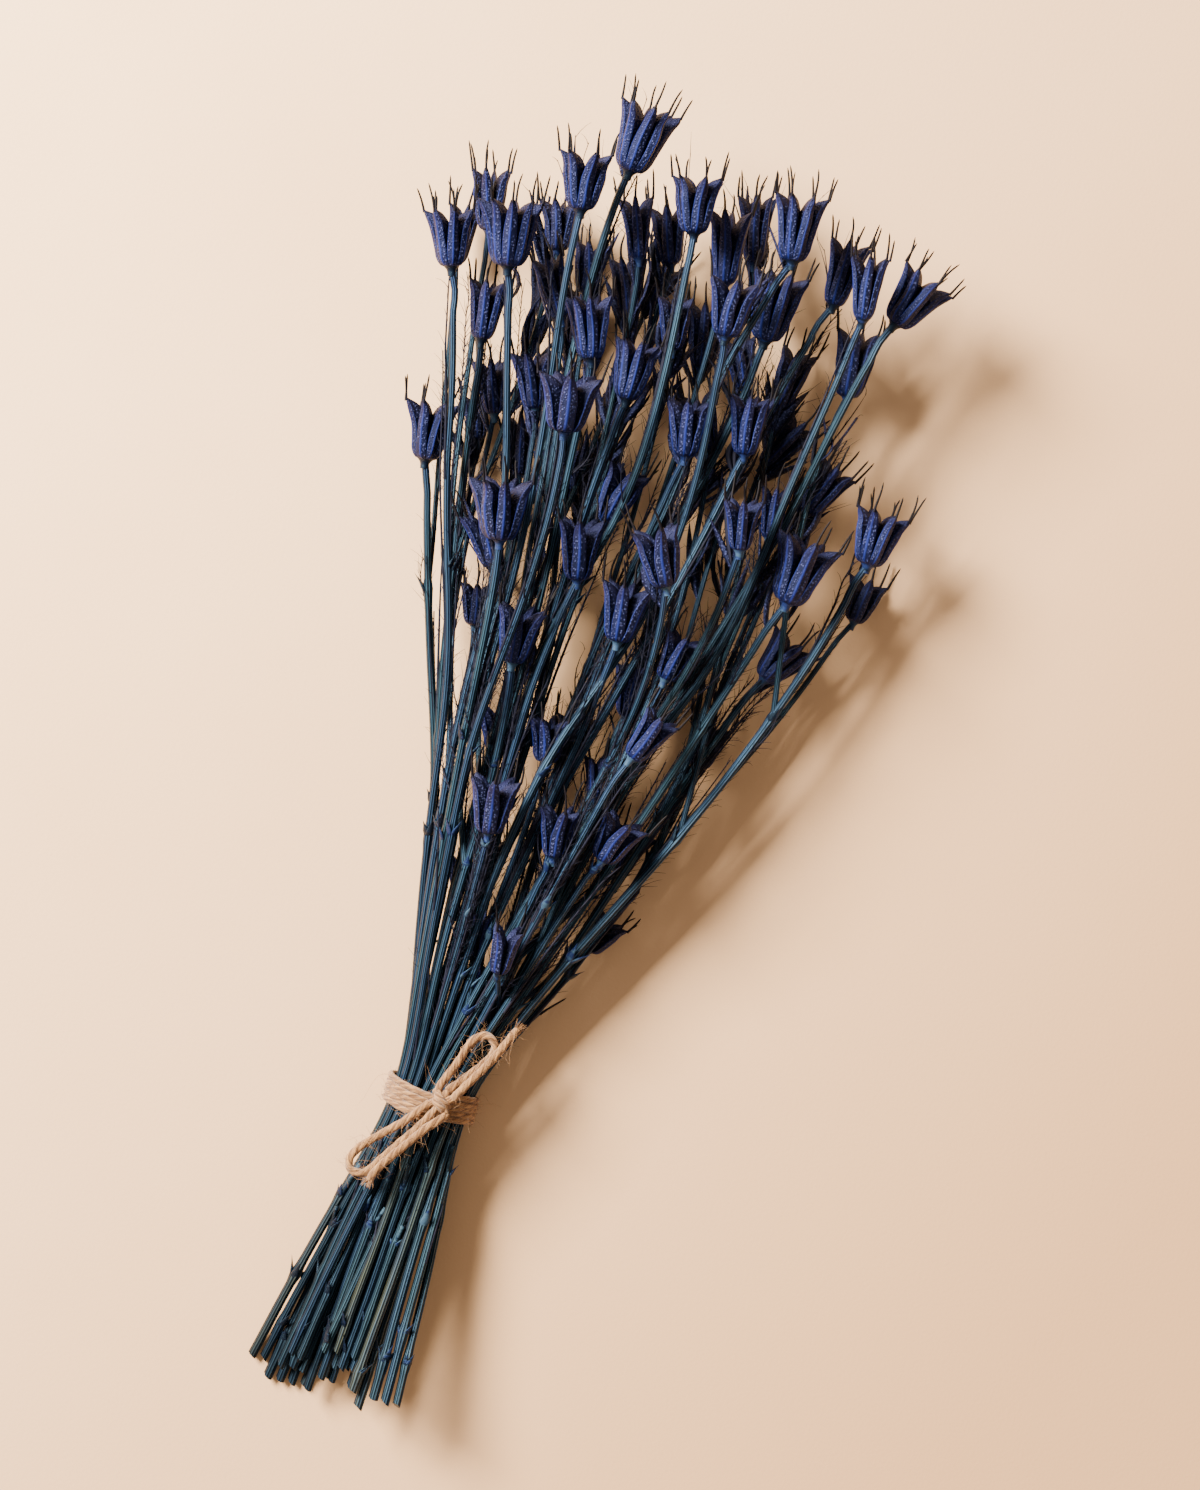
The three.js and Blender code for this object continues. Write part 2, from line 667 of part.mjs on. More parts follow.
// A pod's cup, valleys and inner floor as shares of its length, and how its horns vary
const CUP_SHARE = 0.14;
const VALLEY_SHARE = 0.6;
const FLOOR_SHARE = 0.42;
const VALLEY_DEPTH = 0.78;
const BEAK_SPLAY = 0.14;

// Cup, crown of horns with a valley between each two, and a beak on every horn
function addPod(mesh, shoot, base, axis, stemRing) {
  const { follicles, podRadius, podLength, random } = shoot;
  const step = Math.PI / follicles;
  const firstAngle = STEM_ANGLES[0] + (shoot.roll % (2 * step)) * 0.5;
  const starAngles = Array.from({ length: 2 * follicles }, (_, i) => firstAngle + i * step);
  const cupRadius = podRadius * podRadiusAt(CUP_SHARE);
  const cupCentre = base.clone().addScaledVector(axis, CUP_SHARE * podLength);
  const cupRadii = starAngles.map((_, i) => (i % 2 ? cupRadius : cupRadius * VALLEY_DEPTH));
  const cup = mesh.ring(cupCentre, axis, starAngles, cupRadii);
  const horns = Array.from({ length: follicles }, () => ({
    shoulder: 0.84 + 0.1 * random(),
    splay: podRadius * (0.88 + 0.16 * random()),
    reach: BEAK_LENGTH * (0.6 + 0.4 * random()),
    drift: (random() - 0.5) * 0.5 * step,
  }));
  const crown = addRow(mesh, base, axis, starAngles.map((angle, i) => {
    const horn = horns[(i - 1) / 2];
    return horn
      ? [angle, horn.splay, podLength * horn.shoulder]
      : [angle, podRadius * podRadiusAt(VALLEY_SHARE) * VALLEY_DEPTH, podLength * VALLEY_SHARE];
  }));
  mesh.bridge(stemRing, STEM_ANGLES, cup, starAngles);
  mesh.bridge(cup, starAngles, crown, starAngles);
  const floor = mesh.add(base.clone().addScaledVector(axis, FLOOR_SHARE * podLength));
  const frame = RingMesh.frame(axis);
  horns.forEach(({ splay, reach, drift }, i) => {
    const middle = starAngles[2 * i + 1];
    const valley = crown[2 * i];
    const nextValley = crown[(2 * i + 2) % crown.length];
    mesh.triangles.push([floor, nextValley, valley]);
    const angle = middle + drift;
    const aside = BEAK_ROOT_RADIUS / splay;
    const beak = addRow(mesh, base, axis, [
      [angle - aside, splay - BEAK_ROOT_RADIUS, podLength],
      [angle, splay + BEAK_ROOT_RADIUS, podLength],
      [angle + aside, splay - BEAK_ROOT_RADIUS, podLength],
    ]);
    const hornAngles = [middle - step, middle, middle + step];
    mesh.bridge([valley, crown[2 * i + 1], nextValley], hornAngles, beak, hornAngles);
    const tip = RingMesh.polar(base, frame, angle, splay + BEAK_SPLAY * reach, podLength + reach);
    mesh.capPoint(beak, tip);
  });
}

function addRow(mesh, base, axis, row) {
  const frame = RingMesh.frame(axis);
  return row.map(([angle, radius, rise]) => mesh.add(RingMesh.polar(base, frame, angle, radius, rise)));
}

function solidToGeometry(solid) {
  const { vertProperties, triVerts } = solid.getMesh();
  const geometry = new THREE.BufferGeometry();
  geometry.setAttribute('position', new THREE.BufferAttribute(vertProperties, 3));
  geometry.setIndex(new THREE.BufferAttribute(triVerts, 1));
  geometry.computeVertexNormals();
  return geometry;
}

function geometryToSolid(geometry) {
  const bare = geometry.clone();
  bare.deleteAttribute('normal');
  bare.deleteAttribute('uv');
  const merged = mergeVertices(bare);
  const index = merged.index.array;
  return new wasm.Manifold(new wasm.Mesh({
    numProp: 3,
    vertProperties: new Float32Array(merged.attributes.position.array),
    triVerts: new Uint32Array(index),
  }));
}

const LEAF_TRIES = 5;
const LEAVES_A_STEM = 2;
const LEAF_ANGLES = [0.25, 0.5833, 0.9167].map((turn) => turn * 2 * Math.PI);
const LOWEST_LEAF = 45;
const LEAF_SPACING = 30;
const LEAF_REACH_OUT = 0.42;
const LEAF_REACH_ALONG = 0.7;
const LEAF_BEND = 0.15;
const LEAF_TAPER = 0.12;

// Whether a thin thread at a point clears every disc but those of its own stem
function isClear(point, own, shoots) {
  const position = (point.y + FOOT_REACH) / STATION_STEP;
  const k = Math.floor(position);
  const share = position - k;
  return shoots.every((shoot) => {
    if (shoot === own || k < shoot.first || k + 1 > shoot.top) {
      return true;
    }
    const x = lerp(shoot.xs[k], shoot.xs[k + 1], share);
    const z = lerp(shoot.zs[k], shoot.zs[k + 1], share);
    const radius = Math.max(shoot.radii[k], shoot.radii[k + 1]);
    return Math.hypot(point.x - x, point.z - z) > radius + LEAF_ROOT_RADIUS + CLEARANCE;
  });
}

// The curved centre line of one dried leaf thread, standing off the stem and bending along it
function leafLine(shoot, k, random) {
  const root = new THREE.Vector3(shoot.xs[k], stationY(k), shoot.zs[k]);
  const around = random() * 2 * Math.PI;
  const length = LEAF_LENGTH * (0.5 + 0.5 * random());
  const out = new THREE.Vector3(Math.cos(around), 0, Math.sin(around));
  const along = new THREE.Vector3(0, 1, 0);
  return [0, 0.3, 0.65, 1].map((share) => root.clone()
    .addScaledVector(out, length * LEAF_REACH_OUT * Math.sin((share * Math.PI) / 2))
    .addScaledVector(along, length * (LEAF_REACH_ALONG * share + LEAF_BEND * share * share)));
}

// Points along a leaf where it touches nothing but its own stem, or null
function clearLeafPoints(line, shoot, shoots, placed) {
  const points = new THREE.CatmullRomCurve3(line).getPoints(14);
  const clearOfStems = points.every((point) => point.z > LEAF_ROOT_RADIUS && isClear(point, shoot, shoots));
  const clearOfLeaves = placed.every((other) => points.every((point) => other.every(
    (spot) => spot.distanceTo(point) > 2 * LEAF_ROOT_RADIUS + CLEARANCE,
  )));
  return clearOfStems && clearOfLeaves ? points : null;
}

function leafSolid(line) {
  const mesh = new RingMesh();
  let ring = null;
  line.slice(0, 3).forEach((point, index) => {
    const tangent = tangentAt(line, index);
    const next = mesh.ring(point, tangent, LEAF_ANGLES, LEAF_ROOT_RADIUS * (1 - LEAF_TAPER * index));
    if (ring) {
      mesh.bridge(ring, LEAF_ANGLES, next, LEAF_ANGLES);
    } else {
      mesh.capStart(next);
    }
    ring = next;
  });
  mesh.capPoint(ring, line[3]);
  return mesh.toSolid();
}

// Thread leaves of every main stem that find a clear way out of the bunch
function growLeaves({ stems, shoots }) {
  const placed = [];
  stems.forEach((shoot, order) => {
    const random = makeRandom(9000 + order);
    shoot.leaves = [];
    for (let leaf = 0; leaf < LEAVES_A_STEM; leaf += 1) {
      const low = stationAt(LOWEST_LEAF + LEAF_SPACING * leaf);
      const high = shoot.lastFree - 4;
      for (let attempt = 0; attempt < LEAF_TRIES && shoot.leaves.length <= leaf; attempt += 1) {
        const k = Math.round(lerp(low, Math.max(high, low), random()));
        const line = leafLine(shoot, Math.min(k, high), random);
        const points = clearLeafPoints(line, shoot, shoots, placed);
        if (points) {
          placed.push(points);
          shoot.leaves.push(line);
        }
      }
    }
  });
}

// Five turns of twine side by side round the stems, flat where they lie on the surface
const TURNS_AROUND = 20;
const GROOVE_SHARE = 0.45;

function bindingSolid() {
  const half = (TWINE_TURNS * TURN_PITCH) / 2;
  const valley = GROOVE_SHARE * TWINE_DIAMETER;
  const section = [[half, 0], [-half, 0]];
  for (let turn = 0; turn < TWINE_TURNS; turn += 1) {
    const start = turn * TURN_PITCH - half;
    section.push([start, valley], [start + TURN_PITCH / 2, TWINE_DIAMETER]);
  }
  section.push([half, valley]);
  const mesh = new RingMesh();
  for (let i = 0; i < TURNS_AROUND; i += 1) {
    const angle = (i + 0.5) * ((2 * Math.PI) / TURNS_AROUND);
    for (const [along, out] of section) {
      const x = (BUNDLE_HALF_WIDTH + TWINE_GAP + out) * Math.cos(angle);
      const z = BUNDLE_HEIGHT + (BUNDLE_HALF_HEIGHT + TWINE_GAP + out) * Math.sin(angle);
      mesh.add(new THREE.Vector3(x, along, z));
    }
  }
  const count = section.length;
  for (let i = 0; i < TURNS_AROUND; i += 1) {
    const next = (i + 1) % TURNS_AROUND;
    for (let j = 0; j < count; j += 1) {
      const a = i * count + j;
      const b = i * count + ((j + 1) % count);
      const c = next * count + j;
      const d = next * count + ((j + 1) % count);
      mesh.triangles.push([a, b, c], [b, d, c]);
    }
  }
  return mesh.toSolid();
}

function knotCentre() {
  const [x, y] = photoToBunch(KNOT_PIXEL, KNOT_HEIGHT);
  return new THREE.Vector3(x, y, KNOT_HEIGHT);
}

function makeBinding() {
  const knot = new THREE.IcosahedronGeometry(KNOT_RADIUS, 1);
  knot.translate(...knotCentre());
  const surface = new THREE.BoxGeometry(6 * BUNDLE_HALF_WIDTH, 6 * BUNDLE_HALF_WIDTH, 2);
  surface.translate(0, 0, -1);
  const solid = bindingSolid().add(geometryToSolid(knot)).subtract(geometryToSolid(surface));
  const binding = new THREE.Mesh(solidToGeometry(solid), twineMaterial);
  binding.name = 'twine_binding';
  return binding;
}

// Height of the bow's twine: on the turns near the knot, on the stems away from it
function bowHeight(y) {
  const away = Math.abs(y);
  const onStems = BOW_CEILING + BOW_CEILING_RISE * away + TWINE_GAP + TWINE_DIAMETER / 2;
  const onTurns = BUNDLE_HEIGHT + BUNDLE_HALF_HEIGHT + 2 * TWINE_GAP + 1.5 * TWINE_DIAMETER;
  return lerp(onTurns, onStems, THREE.MathUtils.smoothstep(away, BAND_REACH - 1, 2 * BAND_REACH));
}

// A bow stretch starts just off the knot's surface, and a loop ends just off it too
function bowPoints(name, route) {
  const centre = knotCentre();
  const points = route.map((pixel) => {
    const [x, y] = photoToBunch(pixel, KNOT_HEIGHT);
    return new THREE.Vector3(x, y, bowHeight(y) + pixel[2] * (TWINE_DIAMETER + TWINE_GAP));
  });
  const offKnot = (point) => point.clone().sub(centre).setLength(KNOT_RADIUS + TWINE_GAP).add(centre);
  points.unshift(offKnot(points[0]));
  if (name.includes('loop')) {
    points.push(offKnot(points.at(-1)));
  }
  return points;
}

const BOW_STEP = 1.3 * TWINE_DIAMETER;

function makeBow() {
  const circle = new THREE.Shape();
  circle.absarc(0, 0, TWINE_DIAMETER / 2, 0, 2 * Math.PI);
  return Object.entries(BOW_ROUTES).map(([name, route]) => {
    const path = new THREE.CatmullRomCurve3(bowPoints(name, route));
    const steps = Math.round(path.getLength() / BOW_STEP);
    const geometry = new THREE.ExtrudeGeometry(circle, { steps, curveSegments: 4, extrudePath: path });
    const stretch = new THREE.Mesh(geometry, twineMaterial);
    stretch.name = name;
    return stretch;
  });
}

const stemMaterial = new THREE.MeshStandardMaterial({ color: 0x39417f, roughness: 0.72, metalness: 0 });
const twineMaterial = new THREE.MeshStandardMaterial({ color: 0xc39a6b, roughness: 0.95, metalness: 0 });

function makeSprays({ stems, branches }) {
  return stems.map((stem, index) => {
    let solid = shootSolid(stem);
    for (const branch of branches.filter((shoot) => shoot.parent === stem)) {
      solid = solid.add(shootSolid(branch));
    }
    for (const line of stem.leaves) {
      solid = solid.add(leafSolid(line));
    }
    const spray = new THREE.Mesh(solidToGeometry(solid), stemMaterial);
    spray.name = `spray_${String(index + 1).padStart(2, '0')}`;
    return spray;
  });
}

const layout = layOutBunch();
growLeaves(layout);
const bunch = new THREE.Group();
bunch.add(...makeSprays(layout), makeBinding(), ...makeBow());

const box = new THREE.Box3().setFromObject(bunch);
const centre = box.getCenter(new THREE.Vector3());
bunch.position.set(-centre.x, -centre.y, -box.min.z);

const part = new THREE.Group();
part.add(bunch);

export default part;
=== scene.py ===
"""A bunch of dried, blue-dyed nigella orientalis with a jute bow, seen from straight above.

The layout is worked out as in the part's source, in millimetres measured from the tie: x across
the bunch, y along it towards the pods, z up. Meshes are written in metres, in the row frame.
"""

import json
import math

import bpy
import numpy as np
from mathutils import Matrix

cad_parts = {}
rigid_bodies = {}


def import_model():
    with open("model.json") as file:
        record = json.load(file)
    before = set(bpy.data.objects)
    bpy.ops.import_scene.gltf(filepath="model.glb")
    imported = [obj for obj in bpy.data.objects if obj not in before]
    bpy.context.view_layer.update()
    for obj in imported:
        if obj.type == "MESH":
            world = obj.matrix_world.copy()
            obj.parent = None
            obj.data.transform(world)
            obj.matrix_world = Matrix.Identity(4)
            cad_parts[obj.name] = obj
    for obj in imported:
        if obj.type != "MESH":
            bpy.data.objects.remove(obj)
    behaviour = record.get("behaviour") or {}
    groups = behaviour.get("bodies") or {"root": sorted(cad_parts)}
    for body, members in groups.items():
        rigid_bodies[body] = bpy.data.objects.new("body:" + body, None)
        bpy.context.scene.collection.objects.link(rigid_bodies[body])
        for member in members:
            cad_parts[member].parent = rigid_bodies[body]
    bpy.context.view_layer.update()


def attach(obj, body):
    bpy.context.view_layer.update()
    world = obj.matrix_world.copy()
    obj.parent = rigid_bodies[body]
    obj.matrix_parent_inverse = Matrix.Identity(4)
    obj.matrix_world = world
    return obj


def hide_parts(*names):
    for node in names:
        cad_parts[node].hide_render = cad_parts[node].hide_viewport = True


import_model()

# Driving dimensions, in millimetres
BUNCH_LENGTH = 437
CAMERA_HEIGHT = 1500
BUNDLE_HALF_WIDTH = 12.2
BUNDLE_HALF_HEIGHT = 10
TWINE_DIAMETER = 2.7
TWINE_TURNS = 5
TURN_PITCH = 1.8
TWINE_FLATTENING = 0.8
TWINE_GAP = 0.3
KNOT_RADIUS = 3.3
KNOT_HEIGHT = 27.3
BEAK_LENGTH = 9
LEAF_LENGTH = 24

# Places in the photograph, in its pixels
PHOTO_SIZE = (1200, 1490)
BUNCH_LENGTH_PIXELS = 1366
PHOTO_CENTRE = (PHOTO_SIZE[0] / 2, PHOTO_SIZE[1] / 2)
TIE_PIXEL = (431, 1098)
KNOT_PIXEL = (442, 1102)
BUNCH_LEAN = 15

# The bow's stretches, and how far each point is lifted, in twines
BOW_ROUTES = {
    "bow_loop_up": [
        (438, 1091, 0), (442, 1083, 0), (449, 1074, 0), (456, 1065, 0), (462, 1056, 0),
        (468, 1046.5, 0), (475, 1039.5, 0), (483, 1036, 0), (490.5, 1038, 0), (494.5, 1044.5, 0),
        (494, 1052, 0), (489, 1059, 0), (481, 1066.5, 0), (471, 1074, 0), (461, 1081.5, 0),
        (453, 1087, 0), (447.5, 1091, 0),
    ],
    "bow_loop_down": [
        (430, 1103, 0), (421, 1109, 0), (411, 1116.5, 0), (400, 1124, 0), (388, 1130.5, 0),
        (376.5, 1137, 0), (365, 1143.5, 0), (355, 1151, 0), (349, 1160, 0), (350, 1168.5, 0),
        (357.5, 1173, 0), (366, 1172, 0), (374, 1166, 0), (383, 1157.5, 0), (393, 1149, 0),
        (403, 1140.5, 0), (413, 1132, 0), (423, 1122.5, 0), (432, 1113.5, 0),
    ],
    "bow_tail_up": [
        (453, 1099, 0.3), (461, 1090.5, 0.9), (470, 1081.5, 1), (480, 1072, 1), (489, 1063, 1),
        (497, 1054, 1), (504, 1046, 0.7), (511, 1037.5, 0.3), (518.5, 1029, 0),
    ],
    "bow_tail_down": [
        (446, 1114, 0.3), (437, 1121, 0.9), (427, 1127, 1), (416, 1136, 1), (405, 1145, 1),
        (394.5, 1153.5, 1), (384.5, 1162, 1), (377, 1169, 1), (371, 1177, 0.9), (369, 1180.5, 0.8),
    ],
}

# Pods on the main stems: pod base across and down, lean, length and width in pixels, follicles,
# depth in the bunch, and points that the stem is seen to pass
MAIN_PODS = [
    (627, 172, 20, 66, 56, 8, 0.8, [(588, 258)]),
    (586, 213, 7, 56, 50, 7, 0.95, [(561, 330), (545, 430), (524, 560)]),
    (507, 268, 5, 64, 58, 8, 0.85, [(507, 340), (510, 440)]),
    (464, 273, -1, 56, 46, 7, 0.6, [(465, 340), (464, 430), (457, 560), (450, 700)]),
    (481, 341, 9, 58, 40, 6, 0.5, []),
    (431, 462, 9, 58, 50, 8, 0.35, [(426, 540), (432, 650), (438, 760)]),
    (597, 361, -1, 62, 46, 7, 0.85, []),
    (630, 402, 14, 58, 46, 7, 0.7, []),
    (693, 234, 4, 55, 48, 7, 0.95, [(680, 310), (662, 400), (648, 490)]),
    (787, 266, 9, 64, 50, 8, 0.7, []),
    (825, 305, 17, 64, 40, 6, 0.5, [(800, 338), (775, 380)]),
    (861, 321, 8, 62, 36, 6, 0.85, [(838, 385), (812, 440), (790, 490), (740, 615), (703, 715)]),
    (888, 325, 37, 56, 54, 8, 0.45, [(838, 402), (815, 460)]),
    (723, 338, 12, 56, 50, 6, 0.95, [(712, 390), (697, 470), (680, 545)]),
    (773, 343, 14, 68, 58, 8, 0.6, [(758, 400)]),
    (566, 435, 8, 56, 60, 5, 1, [(566, 510)]),
    (674, 455, 6, 56, 46, 6, 0.8, []),
    (734, 453, 7, 58, 44, 6, 0.8, []),
    (501, 542, 4, 60, 60, 7, 1, [(501, 600)]),
    (581, 582, 4, 60, 46, 5, 0.95, []),
    (604, 521, 26, 58, 44, 5, 0.8, []),
    (659, 588, -12, 58, 48, 5, 0.95, [(661, 640), (658, 700)]),
    (738, 552, 4, 50, 36, 5, 0.9, [(719, 615), (697, 680)]),
    (851, 562, 18, 54, 54, 8, 0.35, [(815, 645), (785, 700), (715, 795), (650, 872), (600, 912)]),
    (782, 603, 22, 66, 60, 7, 0.7, [(752, 655), (715, 700)]),
    (767, 681, 40, 50, 46, 7, 0.3, [(735, 715), (680, 780)]),
    (699, 769, 18, 46, 40, 5, 0.35, [(680, 810), (650, 865), (600, 940)]),
    (616, 642, 12, 58, 50, 6, 0.95, [(607, 690)]),
    (511, 663, 12, 56, 48, 6, 0.95, [(507, 720), (505, 780)]),
    (665, 680, 26, 48, 40, 5, 0.85, []),
    (632, 759, 38, 52, 38, 5, 0.95, [(600, 800), (572, 836)]),
    (488, 833, 8, 56, 48, 5, 0.95, [(474, 900), (462, 945)]),
    (590, 858, 30, 48, 46, 5, 0.95, [(562, 897), (535, 940)]),
    (552, 857, 8, 50, 40, 5, 0.95, []),
]

# Pods on side branches, in the same columns
SIDE_PODS = [
    (489, 230, 3, 60, 40, 6, 0.5),
    (458, 262, 10, 58, 34, 5, 0.3),
    (563, 251, 5, 50, 40, 6, 0.35),
    (561, 319, -12, 62, 34, 6, 0.55),
    (573, 347, 10, 58, 36, 5, 0),
    (598, 300, 8, 50, 36, 5, 0.25),
    (640, 262, -3, 60, 32, 5, 0.4),
    (668, 263, -3, 58, 40, 6, 0.4),
    (727, 287, 5, 72, 42, 6, 0.55),
    (754, 264, 3, 66, 36, 6, 0.3),
    (668, 350, 4, 52, 36, 5, 0.45),
    (694, 366, 6, 64, 36, 5, 0.2),
    (749, 391, -8, 50, 34, 5, 0.35),
    (836, 394, 12, 66, 48, 6, 0.4),
    (793, 412, 22, 62, 38, 5, 0.25),
    (755, 465, 44, 60, 36, 5, 0),
    (800, 512, 38, 56, 38, 6, 0.4),
    (786, 545, 30, 54, 32, 5, 0),
    (847, 621, 22, 44, 38, 5, 0),
    (773, 541, 8, 52, 30, 5, 0.55),
    (700, 503, 44, 40, 24, 4, 0.1),
    (478, 441, -3, 46, 30, 5, 0),
    (496, 415, -4, 54, 34, 5, 0.35),
    (531, 409, -3, 56, 42, 6, 0.4),
    (521, 476, 2, 60, 34, 5, 0.25),
    (491, 567, -14, 56, 40, 5, 0.5),
    (468, 624, 8, 42, 38, 5, 0.5),
    (523, 685, 14, 44, 26, 4, 0.6),
    (503, 754, 0, 48, 40, 5, 0.6),
    (543, 762, 7, 45, 44, 6, 0.85),
    (572, 766, 10, 50, 38, 5, 0.6),
    (626, 717, 10, 52, 38, 5, 0.65),
    (594, 799, 5, 42, 24, 4, 0.7),
    (628, 875, 25, 46, 42, 5, 0.3),
    (455, 887, 10, 32, 20, 3, 0.45),
    (493, 875, 7, 36, 22, 3, 0.6),
    (566, 905, 5, 40, 20, 3, 0.5),
    (470, 955, 10, 45, 20, 3, 0.9),
    (499, 973, 14, 48, 34, 4, 1),
    (467, 998, 24, 38, 28, 4, 0.9),
    (584, 950, 40, 40, 36, 4, 0.3),
    (517, 1028, 46, 28, 18, 3, 0.2),
    (632, 318, -2, 60, 38, 6, 0.3),
    (645, 312, 26, 54, 34, 5, 0.15),
    (712, 452, -12, 58, 38, 5, 0.4),
    (558, 500, -2, 50, 36, 5, 0.2),
    (584, 500, 8, 50, 34, 5, 0.2),
]

# Layout settings, as in the part's source
STATION_STEP = 5
FOOT_REACH = 105
HEAD_REACH = 350
STATION_COUNT = (FOOT_REACH + HEAD_REACH) // STATION_STEP + 1
LAYOUT_ROUNDS = 900
SETTLING_ROUNDS = 300
CLEARANCE = 0.6
NECK_LENGTH = 9
BAND_REACH = 8
BOW_REACH = 38
BOW_CEILING = 23.4
BOW_CEILING_RISE = 0.05
MAX_BRANCH_LENGTH = 105
LOWEST_FORK = 15
BRANCH_SHARE = 0.86
FORKED_AWAY = 14
POD_WEIGHT = 0.3
MOST_SHARED_PUSHES = 3
MAX_SLANT = 1.5
FLOOR_GAP = 0.2
FOOT_FLARE = 0.24
BUNDLE_HEIGHT = BUNDLE_HALF_HEIGHT + TWINE_GAP + TWINE_DIAMETER - TWINE_FLATTENING
SPREAD = 0.006
TWIST_ACROSS = 0.03
TWIST_UP = 0.01
FOOT_PLACES = [(0, -34), (0.03, -25.5), (0.91, 3), (0.955, 9.5), (1, 14.5)]
POD_PROFILE = [(0, 0.2), (0.14, 0.56), (0.6, 0.84), (0.88, 1.04), (1, 1.1), (1.45, 1.25)]
SHOOT_SEED = 1000
# Height of the bunch's upper side at the tie, its rise a millimetre, and the most that it reaches
CROWN_AT_TIE, CROWN_RISE, HIGHEST_CROWN = 20, 0.13, 52
LEAN_UP_SHARE, MOST_LEAN_UP = 0.7, 0.25
SLIMMEST_STEM, STEM_A_FOLLICLE = 0.72, 0.075
# Where a stem is cut: least distance from FOOT_REACH, how far it varies, and more for high stems
CUT_LEAST, CUT_VARIES, CUT_FOR_HEIGHT = 2, 14, 0.45
AIM_SHARE = 0.8
BRANCH_LENGTH_SHARE = 0.55
# In each round: how far a shoot is drawn to its places, and how much its bends are smoothed out
PULL_ACROSS, PULL_UP, PULL_SEEN = 0.08, 0.02, 0.3
CALM_FIRST, CALM_LAST = 0.45, 0.12
RESTLESS_ROUNDS = 60
REFRESH_ROUNDS = 10
PIXEL = BUNCH_LENGTH / BUNCH_LENGTH_PIXELS
STATIONS = np.arange(STATION_COUNT) * STATION_STEP - FOOT_REACH


def make_random(seed):
    """Linear congruential draws, the same as in the part's source."""
    state = seed

    def draw():
        nonlocal state
        state = (state * 1664525 + 1013904223) % 4294967296
        return state / 4294967296

    return draw


def turned(right, up):
    """A place right of and up from the photograph's middle, in the part's own directions."""
    turn = math.radians(BUNCH_LEAN)
    return right * math.cos(turn) - up * math.sin(turn), right * math.sin(turn) + up * math.cos(turn)


def photo_to_surface(pixel, z):
    """Place of a photographed point at height z, before the tie is taken as zero."""
    scale = PIXEL * (1 - z / CAMERA_HEIGHT)
    right = (pixel[0] - PHOTO_CENTRE[0]) * scale
    up = (PHOTO_CENTRE[1] - pixel[1]) * scale
    return turned(right, up)


TIE = photo_to_surface(TIE_PIXEL, BUNDLE_HEIGHT)


def photo_to_bunch(pixel, z):
    x, y = photo_to_surface(pixel, z)
    return x - TIE[0], y - TIE[1]


def station_at(y):
    return math.floor((y + FOOT_REACH) / STATION_STEP + 0.5)


def lerp(a, b, t):
    return (1 - t) * a + t * b


def smooth(t, low, high):
    """Smooth step of a number or an array between two limits."""
    t = np.clip((np.asarray(t, float) - low) / (high - low), 0, 1)
    return t * t * (3 - 2 * t)


def pod_radius_at(share):
    shares, radii = zip(*POD_PROFILE)
    return float(np.interp(share, shares, radii))


